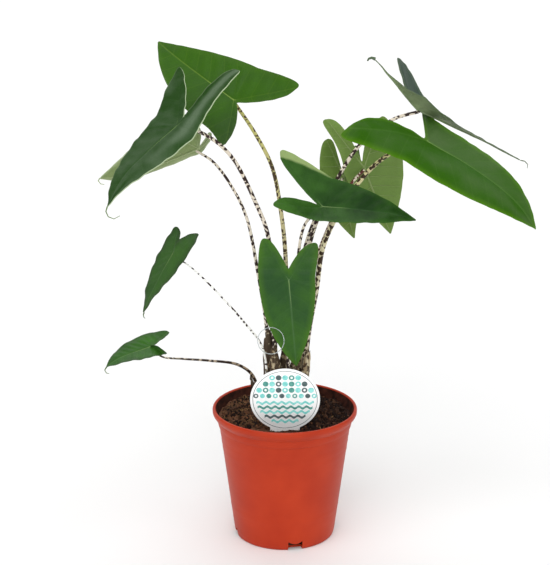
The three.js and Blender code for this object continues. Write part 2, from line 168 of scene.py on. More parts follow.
def pot_profile():
    """The section from the middle of the underside, up outside, over the lip and back down inside."""
    outside = [(0, 0), (POT_FOOT_R - 3, 0), (POT_FOOT_R - 1.7, 0.2), (POT_FOOT_R - 0.7, 0.9),
               (POT_FOOT_R - 0.1, 2.2), (POT_FOOT_R + 0.5, 5)]
    for z in range(10, NECK_Z - 2, 3):
        rise = sum(RING_RISE * math.exp(-((z - ring) / RING_SPREAD) ** 2) for ring in RING_HEIGHTS)
        outside.append((wall_radius(z) + rise, z))
    lip = [(wall_radius(NECK_Z - 1.4), NECK_Z - 1.4), (wall_radius(NECK_Z - 1.4) + 0.8, NECK_Z - 1),
           (POT_NECK_R + 1.2, NECK_Z + 0.6), (POT_NECK_R + 1.9, NECK_Z + 3.6),
           (POT_RIM_R - 6, NECK_Z + 7.5), (POT_RIM_R - 3.2, NECK_Z + 10.8),
           (POT_RIM_R - 1.1, NECK_Z + 13.4), (POT_RIM_R - 0.1, NECK_Z + 15.6),
           (POT_RIM_R, POT_HEIGHT - 2.6), (POT_RIM_R - 0.3, POT_HEIGHT - 1.2),
           (POT_RIM_R - 1, POT_HEIGHT - 0.3), (POT_RIM_R - 2, POT_HEIGHT),
           (POT_RIM_R - 3, POT_HEIGHT - 0.3), (POT_RIM_R - 3.8, POT_HEIGHT - 1.3),
           (POT_RIM_R - 5.2, NECK_Z + 12.4), (POT_RIM_R - 8.2, NECK_Z + 7.6),
           (POT_NECK_R - POT_WALL + 0.4, NECK_Z + 1)]
    inside = [(wall_radius(z) - POT_WALL, z) for z in range(NECK_Z - 4, 8, -16)]
    inside += [(wall_radius(8) - POT_WALL - 2, POT_FLOOR + 0.6), (wall_radius(8) - POT_WALL - 6, POT_FLOOR)]
    return outside + lip + inside + [(0, POT_FLOOR)]


def spin_profile(name, profile, sides):
    """Turns a section, given in mm, about the upright axis and closes it at the poles."""
    mesh = bpy.data.meshes.new(name)
    points = [(r * MM, 0, z * MM) for r, z in profile]
    mesh.from_pydata(points, [(i, i + 1) for i in range(len(points) - 1)], [])
    turned = bpy.data.objects.new(name, mesh)
    bpy.context.collection.objects.link(turned)
    bpy.context.view_layer.objects.active = turned
    turned.select_set(True)
    bpy.ops.object.mode_set(mode="EDIT")
    bpy.ops.mesh.select_all(action="SELECT")
    bpy.ops.mesh.spin(steps=sides, angle=2 * math.pi, center=(0, 0, 0), axis=(0, 0, 1))
    bpy.ops.mesh.select_all(action="SELECT")
    bpy.ops.mesh.remove_doubles(threshold=1e-6)
    bpy.ops.mesh.normals_make_consistent(inside=False)
    bpy.ops.object.mode_set(mode="OBJECT")
    turned.select_set(False)
    return turned


def modify(piece, kind, **settings):
    """Adds a modifier with its settings, and applies it."""
    modifier = piece.modifiers.new(kind.lower(), kind)
    for name, value in settings.items():
        setattr(modifier, name, value)
    bpy.context.view_layer.objects.active = piece
    bpy.ops.object.modifier_apply(modifier=modifier.name)


def smooth_by_angle(piece, angle):
    """Smooth shading, with edges sharper than an angle left hard."""
    piece.select_set(True)
    bpy.context.view_layer.objects.active = piece
    bpy.ops.object.shade_smooth_by_angle(angle=math.radians(angle))
    piece.select_set(False)


def join_to(piece, *others):
    """Joins other pieces into one."""
    for other in others:
        other.select_set(True)
    piece.select_set(True)
    bpy.context.view_layer.objects.active = piece
    bpy.ops.object.join()
    piece.select_set(False)


def drain_cutter():
    """The four blocks that the drain slots are cut with."""
    blocks = []
    reach, _, height = DRAIN_SIZE
    middle = Matrix.Translation(Vector((POT_FOOT_R + 1 - reach / 2, 0, height / 2 - 1)) * MM)
    size = Matrix.Diagonal((*(s * MM for s in DRAIN_SIZE), 1))
    for i in range(DRAIN_COUNT):
        turn = Matrix.Rotation(DRAIN_TURN + 2 * math.pi * i / DRAIN_COUNT, 4, "Z")
        bpy.ops.mesh.primitive_cube_add(size=1, location=(0, 0, 0))
        blocks.append(bpy.context.object)
        blocks[-1].data.transform(turn @ middle @ size)
    join_to(*blocks)
    return blocks[0]


def moulded_polypropylene():
    """Injection-moulded polypropylene: warm terracotta, satin, faintly mottled, with fine scuffs
    round the wall."""
    material, add = new_material("polypropylene_moulded_terracotta")
    place = add("TexCoord", out="Object")
    cloudy = add("TexNoise", {"Vector": place, "Scale": 22, "Detail": 3})
    flat = add("Mapping", {"Vector": place, "Scale": (60, 60, 900)})
    scuffs = add("TexNoise", {"Vector": flat, "Scale": 1, "Detail": 4})
    tint = add("ValToRGB", {"Fac": cloudy}, stops=((0.3, "#aa2f12"), (0.75, "#bb3a18")))
    rough = add("MapRange", {"Value": scuffs, "To Min": 0.36, "To Max": 0.52})
    bump = add("Bump", {"Height": scuffs, "Strength": 0.12, "Distance": 0.0004})
    return with_surface(material, add, {
        "Base Color": tint, "Roughness": rough, "Normal": bump, "IOR": 1.49, "Specular IOR Level": 0.2})


def darker_inside_polypropylene():
    """The same plastic on the inside of the wall, up to the rim: duller, and much darker and browner."""
    material, add = new_material("polypropylene_darker_inside")
    place = add("TexCoord", out="Object")
    inside_mottle = add("TexNoise", {"Vector": place, "Scale": 130, "Detail": 5})
    tint = add("ValToRGB", {"Fac": inside_mottle}, stops=((0.35, "#25120e"), (0.7, "#4c291f")))
    bump = add("Bump", {"Height": inside_mottle, "Strength": 0.2, "Distance": 0.0004})
    return with_surface(material, add, {
        "Base Color": tint, "Roughness": 0.85, "Specular IOR Level": 0.1, "Normal": bump})


pot = spin_profile("pot_moulded", pot_profile(), POT_SIDES)
cutter = drain_cutter()
modify(pot, "BOOLEAN", operation="DIFFERENCE", object=cutter)
bpy.data.objects.remove(cutter)
smooth_by_angle(pot, 35)
pot.data.materials.clear()
pot.data.materials.append(moulded_polypropylene())
pot.data.materials.append(darker_inside_polypropylene())
for face in pot.data.polygons:
    outward = face.normal.x * face.center.x + face.normal.y * face.center.y
    face.material_index = int(outward < 0 and DARKER_INSIDE[0] * MM < face.center.z < DARKER_INSIDE[1] * MM)
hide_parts("pot")
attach(pot, "root")


# ---------------------------------------------------------------- compost
# Dark peat compost, filled to just under the rim and heaped a little round the stalks, with
# crumbs of bark all over it and straw-brown coir fibres, most of them on its left side.

SOIL_LEVEL = 147  # at the wall
SOIL_MOUND = 9  # how much higher it lies round the stalks
TOP_RADIUS = POT_RIM_R - 7.9
LABEL_DIP = 8  # how much lower it lies where the label was pushed in
CRUMB_SIZES = (0.6, 2)  # radii
FIBRE_LENGTHS = (4, 15)
FIBRE_RADII = (0.15, 0.4)


def soil_height(x, y):
    """Height of the compost in mm before its crumbs."""
    reach = math.hypot(x, y - 12) / 80
    mound = SOIL_MOUND * math.exp(-3 * reach * reach)
    uneven = 1.3 * math.sin(x / 11 + 1) * math.cos(y / 9) + 0.8 * math.sin((x + 2 * y) / 7)
    return SOIL_LEVEL + mound + uneven


def crumbly_height(x, y):
    """Height of the compost with its lumps and hollows, and the dip where the label stands."""
    place = Vector((x, y, 0))
    lumps = noise.fractal(place / 7, 0.9, 2.1, 4)
    dip = LABEL_DIP * math.exp(-(x / 34) ** 4 - ((y + 57) / 14) ** 2)
    return soil_height(x, y) + 1.6 * lumps + 0.7 * noise.noise(place / 1.5) - dip


def circle(radius, sides):
    """The points of a circle about the origin, as pairs."""
    angles = [2 * math.pi * i / sides for i in range(sides)]
    return [(radius * math.cos(angle), radius * math.sin(angle)) for angle in angles]


def ring_faces(count, sides, first=0):
    """The quads between rings of points that follow one another."""
    faces = []
    for start in range(first, first + (count - 1) * sides, sides):
        for k in range(sides):
            a, b = start + k, start + (k + 1) % sides
            faces.append((a, b, b + sides, a + sides))
    return faces


def append_part(verts, faces, part):
    """Adds a part, as its points and faces, to the lists of a larger mesh."""
    points, sheets = part
    faces += [tuple(len(verts) + i for i in sheet) for sheet in sheets]
    verts += points


def add_floats(mesh, floats):
    """Writes float attributes on the points of a mesh."""
    for label, values in floats.items():
        mesh.attributes.new(label, "FLOAT", "POINT").data.foreach_set("value", values)


def mesh_piece(name, verts, faces, **floats):
    """A new object from points in mm, with any float attributes on its points."""
    mesh = bpy.data.meshes.new(name)
    mesh.from_pydata([tuple(c * MM for c in v) for v in verts], [], faces)
    add_floats(mesh, floats)
    piece = bpy.data.objects.new(name, mesh)
    bpy.context.collection.objects.link(piece)
    return piece


def compost_body():
    """The closed body of compost, with a fine uneven top."""
    sides, rings = 180, 60
    floor_z = POT_FLOOR + 0.3
    inset = POT_WALL + 0.3
    walls = [(wall_radius(8) - inset - 6.5, floor_z), (wall_radius(12) - inset, 12),
             (wall_radius(NECK_Z - 1) - inset, NECK_Z - 1), (POT_RIM_R - 9.4, NECK_Z + 7.2)]
    verts = [(0, 0, floor_z)]
    for r, z in walls:
        verts += [(x, y, z) for x, y in circle(r, sides)]
    for k in range(rings):
        verts += [(x, y, crumbly_height(x, y)) for x, y in circle(TOP_RADIUS * (1 - k / rings), sides)]
    verts.append((0, 0, crumbly_height(0, 0)))
    faces = ring_faces(len(walls) + rings, sides, 1)
    top = len(verts) - 1
    for i in range(sides):
        j = (i + 1) % sides
        faces += [(0, 1 + j, 1 + i), (top, top - sides + i, top - sides + j)]
    return mesh_piece("compost", verts, faces)


def mixed(add, factor, below, above):
    """A mix of two colours."""
    return add("Mix", {0: factor, 6: below, 7: above}, 2, data_type="RGBA")


def peat_compost():
    """Damp peat: almost black, red-brown towards the left, with scattered light crumbs."""
    material, add = new_material("peat_damp")
    place = add("TexCoord", out="Object")
    crumbs = add("TexVoronoi", {"Vector": place, "Scale": 420})
    patches = add("TexNoise", {"Vector": place, "Scale": 70, "Detail": 6})
    dark = add("ValToRGB", {"Fac": patches}, stops=((0.35, "#160907"), (0.72, "#35190f")))
    grains = add("SeparateColor", {"Color": crumbs.node.outputs["Color"]})
    across = add("SeparateXYZ", {"Vector": place})
    towards_left = add("MapRange", {"Value": across, "From Min": 0.02, "From Max": -0.06, "To Max": 0.6})
    bits = add("MapRange", {"Value": grains, "From Min": 0.84, "From Max": 0.97, "To Max": 0.8})
    pale = add("Math", {0: bits, 1: towards_left}, operation="MAXIMUM")
    bump = add("Bump", {"Height": crumbs, "Strength": 0.8, "Distance": 0.001})
    return with_surface(material, add, {
        "Base Color": mixed(add, pale, dark, "#7a533c"), "Roughness": 0.85, "Specular IOR Level": 0.15,
        "Normal": bump})


def bark_and_coir(name, dark_hex, light_hex):
    """Dry bits of bark or coir, each bit its own shade between two browns."""
    material, add = new_material(name)
    shade = add("Attribute", out="Fac", attribute_name="shade")
    tint = add("ValToRGB", {"Fac": shade}, stops=((0, dark_hex), (1, light_hex)))
    grain = add("TexNoise", {"Vector": add("TexCoord", out="Object"), "Scale": 900, "Detail": 2})
    bump = add("Bump", {"Height": grain, "Strength": 0.5, "Distance": 0.0005})
    return with_surface(material, add, {
        "Base Color": tint, "Roughness": 0.8, "Specular IOR Level": 0.15, "Normal": bump})


compost = compost_body()
smooth_by_angle(compost, 60)
compost.data.materials.append(peat_compost())
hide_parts("soil")
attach(compost, "root")

bpy.ops.mesh.primitive_ico_sphere_add(subdivisions=1, radius=1)
pattern = bpy.context.object
CRUMB_POINTS = [v.co.copy() for v in pattern.data.vertices]
CRUMB_FACES = [tuple(p.vertices) for p in pattern.data.polygons]
bpy.data.objects.remove(pattern)


def spot_on_compost(draw):
    """A random place on top of the compost, even over its area, but not against the label."""
    while True:
        r = (TOP_RADIUS - 3) * math.sqrt(draw.random())
        turn = 2 * math.pi * draw.random()
        x, y = r * math.cos(turn), r * math.sin(turn)
        if abs(x) > 42 or y > -44:
            return x, y


def bark_crumbs(count, seed):
    """Lumps of bark and peat, half sunk in the top of the compost."""
    draw = random.Random(seed)
    verts, faces, shades = [], [], []
    for _ in range(count):
        x, y = spot_on_compost(draw)
        size = draw.uniform(*CRUMB_SIZES) * (1.9 if draw.random() < 0.05 else 1)
        shape = Matrix.Diagonal((size * draw.uniform(0.7, 1.3), size, size * draw.uniform(0.6, 0.9)))
        turn = Quaternion([draw.gauss(0, 1) for _ in range(4)]).normalized()
        middle = Vector((x, y, crumbly_height(x, y) + 0.2 * size))
        shade = draw.random() ** 2.5 * (0.35 + 0.65 * min(max((20 - x) / 70, 0), 1))
        points = [middle + turn @ (shape @ (point * (1 + 0.8 * noise.noise(point * 2.3 + middle * 3))))
                  for point in CRUMB_POINTS]
        append_part(verts, faces, (points, CRUMB_FACES))
        shades += [shade] * len(points)
    return mesh_piece("bark_crumbs", verts, faces, shade=shades)


def tube(spine, sides, side=None):
    """Points and faces of a closed round tube through (point, radius) pairs."""
    verts = []
    last = len(spine) - 1
    side = side or (spine[1][0] - spine[0][0]).normalized().orthogonal().normalized()
    for i, (at, radius) in enumerate(spine):
        along = (spine[min(i + 1, last)][0] - spine[max(i - 1, 0)][0]).normalized()
        side = (side - along * side.dot(along)).normalized()
        other = along.cross(side)
        verts += [at + side * x + other * y for x, y in circle(radius, sides)]
    ends = [tuple(reversed(range(sides))), tuple(range(last * sides, (last + 1) * sides))]
    return verts, ring_faces(last + 1, sides) + ends


def coir_fibres(count, seed):
    """Loose coir fibres that lie bent on the compost, thinner at both ends."""
    draw = random.Random(seed)
    verts, faces, shades = [], [], []
    for _ in range(count):
        x, y = spot_on_compost(draw)
        if x > draw.uniform(-60, 60):
            continue
        length = draw.uniform(*FIBRE_LENGTHS)
        heading = draw.uniform(0, 2 * math.pi)
        bend = draw.uniform(-0.28, 0.28)
        path = []
        for _ in range(8):
            if math.hypot(x, y) > TOP_RADIUS - 2:
                break
            path.append(Vector((x, y, crumbly_height(x, y) + draw.uniform(0.2, 1.1))))
            x += length / 7 * math.cos(heading)
            y += length / 7 * math.sin(heading)
            heading += bend + draw.uniform(-0.15, 0.15)
        if len(path) < 3:
            continue
        radius = draw.uniform(*FIBRE_RADII)
        spine = [(at, radius * (0.35 + 0.65 * math.sin(math.pi * (i + 0.3) / (len(path) - 0.4))))
                 for i, at in enumerate(path)]
        part = tube(spine, 5, Vector((0, 0, 1)))
        append_part(verts, faces, part)
        shades += [draw.random()] * len(part[0])
    return mesh_piece("coir_fibres", verts, faces, shade=shades)


crumbs = bark_crumbs(3200, 11)
crumbs.data.materials.append(bark_and_coir("bark_dry", "#160a08", "#7a5238"))
fibres = coir_fibres(700, 23)
fibres.data.materials.append(bark_and_coir("coir_dry", "#2c1810", "#9c7a50"))
for loose in (crumbs, fibres):
    smooth_by_angle(loose, 50)
    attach(loose, "root")


# ---------------------------------------------------------------- leaf blades
# Eleven arrow-shaped leaves of the plant, each a thin waxy sheet that two lobes run back from. The
# midrib, the two costae of the lobes and the side veins show pale above and stand out below.

BLADE_THICK = 0.7
TIP_HALF = 0.7  # half the width that is left at the tip and at the end of a lobe
VEINS = 6.5  # how many gaps between side veins fit along the midrib
VEIN_SLANT = 0.5  # how fast a side vein runs towards the tip as it goes out
VEIN_CURVE = 0.25  # how much faster it does so by the margin
LOBE_SLANT = 0.6  # how fast a vein of a lobe runs back as it goes out
COSTA_END = 0.93  # how far back in a lobe its main vein points
VEIN_ROOTS = (1.35, 1.05, 0.6, 0.5)  # radii below of the midrib, costae, side veins and lobe veins
QUILT = 0.28  # how far the blade rises between its side veins
SWELL = 1.3  # how far it swells and sinks as a whole
GROOVE = 0.35  # how deep the midrib and the costae lie
ROLL_RISE = 1.3  # how far a rolled margin stands up
NO_LINE = 99  # a distance that means no line is near
FRONT_ROWS = (0, 0.05, 0.1, 0.17, 0.25, 0.33, 0.42, 0.51, 0.6, 0.69, 0.77, 0.84, 0.9, 0.95, 0.98, 1)
LOBE_ROWS = (0, 0.1, 0.22, 0.34, 0.46, 0.58, 0.69, 0.78, 0.86, 0.92, 0.96, 0.985, 1)
COLUMNS = (0, 0.035, 0.1, 0.21, 0.37, 0.55, 0.73, 0.88, 0.97, 1)

# Left and right are as seen along the midrib from the junction, with the upper face up, and pairs of
# values are left first. The angles are in degrees and the lengths in mm.
#   junction, tip, lobes   where the stalk meets the blade, and the ends of the midrib and the lobes
#   half, taper            half widths at the junction, and how full each half stays towards the tip
#   fold, curl, flatten    how far a half rises, how far it turns on by its margin, how soon that ends
#   arch, sweep            how far the midrib stands off its chord, upwards and to the right
#   roll, twist            how far the whole blade, and only its front end, turns about the midrib
#   web, bulge             how far back the lobes are joined, and how full each is along its outside
#   gape, round            how wide the sinus opens, and half the width of a lobe's rounded end
#   wave, rolled           how far the margin waves, and the side and width of one that is rolled over
#   thread, hook           the hair-thin ends of the tip and of the right lobe
#   route, radius          the way of the stalk from the compost up, and its radii below and above
#   deep, bright           the greens above; under_deep, under: below; rib: veins; rim: margin
#   tone, sheen            from deep (0) to bright (1), and how much more along the middle of each
#                          half, at the lobes, the junction and the tip; under_tone: also below. The
#                          first is partly the leaf's own shading of green and partly painted light
#                          and shade; the second is a painted highlight
#   midrib                 how strong it shows, half its width, how softly it ends
#   costa, veins, glow     how strong the costae, the side veins and the tint by the margin show
#   edge, gloss            how pale the outer and the inner margins are, and the specular level
PLAIN_LEAF = {
    "fold": (8, 8), "curl": (0, 0), "flatten": 0.5, "arch": 5, "sweep": 0, "roll": 0, "twist": 0,
    "taper": (1.9, 1.9), "web": 0.1, "bulge": (0.15, 0.15), "gape": (0.4, 0.4), "round": (4, 4),
    "wave": 0.5, "tone_and_painted_light": ((0.4, 0.4), (0.5, 0.5), (0.5, 0.5)), "painted_sheen": ((0, 0), (0, 0), (0, 0)),
    "thread": (), "hook": (), "under": "#76904a", "under_deep": "#5f7a38", "rib": "#8fa06a",
    "rim": "#7f9a50", "glow": 0.3, "under_tone": False, "midrib": (0.35, 0.4, 1.0), "costa": 0.15,
    "veins": 0.1, "edge": ((0.25, 0.25), (0.25, 0.25)), "rolled": None, "gloss": 0.14,
}

LEAVES = {
    "back_left": {
        "junction": (-58, 25, 518), "tip": (-148, 122, 568), "lobes": ((-68, -20, 477), (14, -10, 540)),
        "half": (44, 45), "sweep": -2, "taper": (2.4, 1.3), "bulge": (0, 0.3), "gape": (0.4, 0.6),
        "deep": "#334f26", "bright": "#37620f", "rib": "#7a983a", "rim": "#4f7028",
        "tone_and_painted_light": ((0.05, 0.85), (0.7, 0.95), (0.8, 0.8)), "midrib": (0.5, 0.35, 0.6), "costa": 0.12,
        "veins": 0.09, "glow": 0.2,
        "route": ((-2, 6, 165), (-1, 6, 238), (1, 8, 329), (-4, 9, 387), (-15, 12, 444), (-35, 17, 483)),
        "radius": (3.6, 2),
    },
    "upper_left": {
        "junction": (-119, -50, 504), "tip": (-191, -110, 429), "lobes": ((-50, -45, 564), (-118, 20, 556)),
        "half": (32, 38), "fold": (0, 6), "curl": (-25, 0), "arch": 6, "sweep": 5, "taper": (2.5, 1.3),
        "web": 0.2, "bulge": (-0.9, 0.75), "gape": (0.25, 0.7), "round": (3, 1.5),
        # bright is the grey-green of the painted highlight along the middle of the left half; the light tip
        # is a painted highlight where it curls
        "deep": "#254418", "bright": "#596d53", "rib": "#426236", "rim": "#b9c9a4",
        "tone_and_painted_light": ((0.15, 0.1), (0.15, 0.1), (0.6, 0.3)), "painted_sheen": ((1.4, 0), (0.95, 0), (-0.9, 0)),
        "midrib": (0.3, 0.3, 0.8), "costa": 0.05, "veins": 0.2, "glow": 0,
        "edge": ((0.85, 0.1), (0.2, 0.9)), "gloss": 0.08, "wave": 1.1,
        "thread": ((-192.5, -111, 424), (-190, -112, 418.5), (-184, -112, 416), (-177.5, -112, 419.5)),
        "route": ((-11, -8, 165), (-12, -9, 245), (-19, -11, 367), (-33, -18, 409), (-62, -33, 469),
                  (-96, -48, 498)),
        "radius": (3.6, 1.9),
    },
    "hidden_left": {
        "junction": (-98, 3, 467), "tip": (-207, -22, 439), "lobes": ((-96, 22, 484), (-84, 32, 478)),
        "half": (46, 11), "fold": (10, 8), "flatten": 1.6, "sweep": 14, "taper": (5.5, 5),
        "bulge": (0.15, 0.2), "gape": (0.4, 0.1), "round": (4, 5),
        "deep": "#557430", "bright": "#a8b48c", "under": "#9dac7c", "under_deep": "#66803e",
        "rib": "#a3b184", "rim": "#c3cfae", "tone_and_painted_light": ((0.1, 1), (0.1, 0.8), (0.1, 0.5)),
        "edge": ((0.6, 0.6), (0.6, 0.6)),
        "thread": ((-209, -22.5, 436), (-206, -23, 432.5), (-202, -23, 432)),
        "route": ((-19, -1, 165), (-21, -2, 253), (-31, -2, 322), (-44, 0, 388), (-60, 0, 423),
                  (-81, 1, 452)),
        "radius": (3.2, 1.4),
    },
    "small_left": {
        "junction": (-127, -21, 352), "tip": (-159, -48, 290), "lobes": ((-97, -42, 380), (-123, 4, 375)),
        "half": (22, 24), "fold": (-15, 8), "arch": 3, "web": 0.38, "gape": (0.6, 0.5), "round": (2.5, 2.5),
        "deep": "#2b4a24", "bright": "#41692c", "rib": "#4e6a42", "rim": "#2f3e28",
        "tone_and_painted_light": ((0.45, 0.35), (0.75, 0.6), (0.6, 0.45)), "glow": 0.5, "wave": 1.1,
        "thread": ((-160, -48.5, 287), (-159.5, -49, 284.5), (-158, -49, 283)),
        "route": ((-20, -13, 165), (-26, -12, 235), (-48, -14, 268), (-79, -16, 305), (-106, -18, 333)),
        "radius": (1.9, 0.8),
    },
    "low_left": {
        "junction": (-154, -25, 241), "tip": (-202, -62, 229), "lobes": ((-136, -50, 244), (-135, 6, 248)),
        "half": (23, 22), "fold": (-12, 25), "arch": 4, "taper": (3, 1.9), "gape": (0, 1.2),
        "round": (6, 2.5),
        "deep": "#22441a", "bright": "#3e7620", "rib": "#5e7d42", "rim": "#3a4e32",
        "tone_and_painted_light": ((0.1, 0.4), (0.6, 0.5), (0.4, 0.3)), "veins": 0.12, "glow": 0.45, "wave": 0.9,
        "thread": ((-204, -62.5, 226), (-202, -63, 222.5), (-199, -63, 222)),
        "route": ((-31, 34, 156), (-33, 34, 171), (-40, 33, 187), (-56, 28, 200), (-88, 8, 212),
                  (-119, -8, 220), (-142, -20, 227)),
        "radius": (2.6, 0.9),
    },
    "front": {
        "junction": (4, -30, 322), "tip": (13, -38, 222), "lobes": ((33, -22, 364), (-24, -22, 369)),
        "half": (30, 34), "arch": 3, "taper": (1.9, 2.3), "web": 0.28, "bulge": (0.2, 0.1),
        "gape": (0.6, 0.7), "round": (4.5, 3.5),
        "deep": "#2a4d25", "bright": "#3e6a1e", "rib": "#5b7a55", "rim": "#4a7418",
        "tone_and_painted_light": ((0.6, 0.55), (0.1, 0.15), (0.5, 0.5)), "midrib": (0.36, 0.3, 1.3), "costa": 0.05,
        "veins": 0.06, "glow": 0.45, "edge": ((0.15, 0.15), (0.1, 0.1)),
        "route": ((4, -10, 165), (4, -11, 240), (3, -15, 290)),
        "radius": (3, 1.6),
    },
    "middle": {
        "junction": (42, -28, 408), "tip": (143, -68, 403), "lobes": ((-6, 8, 462), (-13, -72, 423)),
        "half": (40, 29), "fold": (12, 8), "arch": 4, "taper": (1.4, 2.5), "bulge": (0.35, 0.05),
        "gape": (0.8, 0.4), "round": (5, 6.5),
        "deep": "#14370a", "bright": "#3e6a26", "under": "#8fa468", "rib": "#3c6434", "rim": "#3f6a24",
        # the high values at the lobes are partly a painted highlight on the near lobe
        "tone_and_painted_light": ((0.65, 0.9), (0.3, 0.45), (0.1, 0.1)), "costa": 0.1, "veins": 0.08, "rolled": (0, 11),
        "route": ((11, -6, 165), (12, -6, 236), (14, -8, 292), (16, -14, 356), (24, -20, 388)),
        "radius": (3, 1.5),
    },
    "right": {
        "junction": (158, -20, 481), "tip": (276, -62, 391), "lobes": ((158, 53, 500), (60, -60, 497)),
        "half": (38, 60), "fold": (6, 16), "curl": (0, -32), "arch": 12, "taper": (3.8, 2.9), "web": 0.08,
        "gape": (1, -0.1), "round": (3, 5),
        # bright is the grey of painted highlight on the far, left half; the right half gets a little
        # painted highlight along its middle
        "deep": "#2d5a07", "bright": "#4b6638", "rib": "#5f8440", "rim": "#5f9210",
        "tone_and_painted_light": ((0.35, 0.05), (0.75, 0), (0.35, 0.1)), "painted_sheen": ((0, 0.1), (0, 0.25), (0, 0.25)),
        "midrib": (0.4, 0.4, 1.6), "glow": 0.3, "gloss": 0.04,
        "route": ((22, 1, 165), (26, 1, 240), (36, 1, 301), (45, 0, 358), (79, -3, 424), (110, -9, 459),
                  (140, -15, 475)),
        "radius": (4.2, 2.2),
    },
    "upper_right": {
        "junction": (150, 30, 507), "tip": (269, 22, 449), "lobes": ((128, 58, 560), (99, -6, 570)),
        "half": (44, 34), "fold": (38, 14), "flatten": 4, "arch": 1, "roll": 25, "twist": -12,
        "taper": (1.1, 1.1), "bulge": (1.3, -0.9), "gape": (0.4, 1.2), "round": (3.5, 2),
        # under_deep, with the low values at the tip that are used below as well, is painted shade on the
        # front part, which is seen edge on
        "deep": "#32463a", "bright": "#47594a", "under": "#93a67a", "under_deep": "#3d4d33",
        "rib": "#66765a", "rim": "#6c7d5c", "tone_and_painted_light": ((0.4, 0.95), (0.4, 0.7), (0.05, 0.05)),
        "under_tone": True,
        "thread": ((273, 22, 448), (276.5, 21.5, 444.5), (276, 21, 440)),
        "hook": ((98, -6, 570.5), (95, -6, 571.5), (92, -6, 570.5), (90.5, -6, 568)),
        "route": ((15, 12, 165), (18, 12, 230), (24, 16, 327), (36, 19, 377), (59, 22, 426), (85, 26, 466),
                  (122, 28, 495)),
        "radius": (3.6, 1.9),
    },
    "back_right": {
        "junction": (91, 46, 436), "tip": (126, 82, 346), "lobes": ((45, 28, 495), (110, 44, 495)),
        "half": (24, 48), "arch": 6, "bulge": (-0.9, 0.15), "gape": (0, 0.4), "round": (6, 4),
        "deep": "#3b6a24", "bright": "#557f30", "under": "#76934a", "under_deep": "#668240", "veins": 0.08,
        "route": ((19, 20, 165), (21, 20, 227), (28, 24, 294), (38, 28, 334), (52, 33, 371), (75, 41, 415)),
        "radius": (3.2, 1.7),
    },
    "back_middle": {
        "junction": (68, 76, 418), "tip": (84, 105, 334), "lobes": ((49, 62, 465), (82, 84, 452)),
        "half": (28, 28), "arch": 6, "gape": (0.9, 0.5), "round": (6, 3),
        "deep": "#34602d", "bright": "#4f7a30", "under": "#6b873e", "under_deep": "#5c7836", "veins": 0.08,
        "route": ((8, 22, 165), (12, 24, 227), (15, 30, 293), (26, 42, 350), (48, 60, 396)),
        "radius": (3, 1.6),
    },
}


def section(reach, half, fold, curl):
    """How far out and how far up a point lies that is `reach` from the midrib along the surface."""
    if abs(curl) < 1e-3:
        return reach * math.cos(fold), reach * math.sin(fold)
    radius = half / curl
    turn = fold + curl * reach / half
    return radius * (math.sin(turn) - math.sin(fold)), radius * (math.cos(fold) - math.cos(turn))


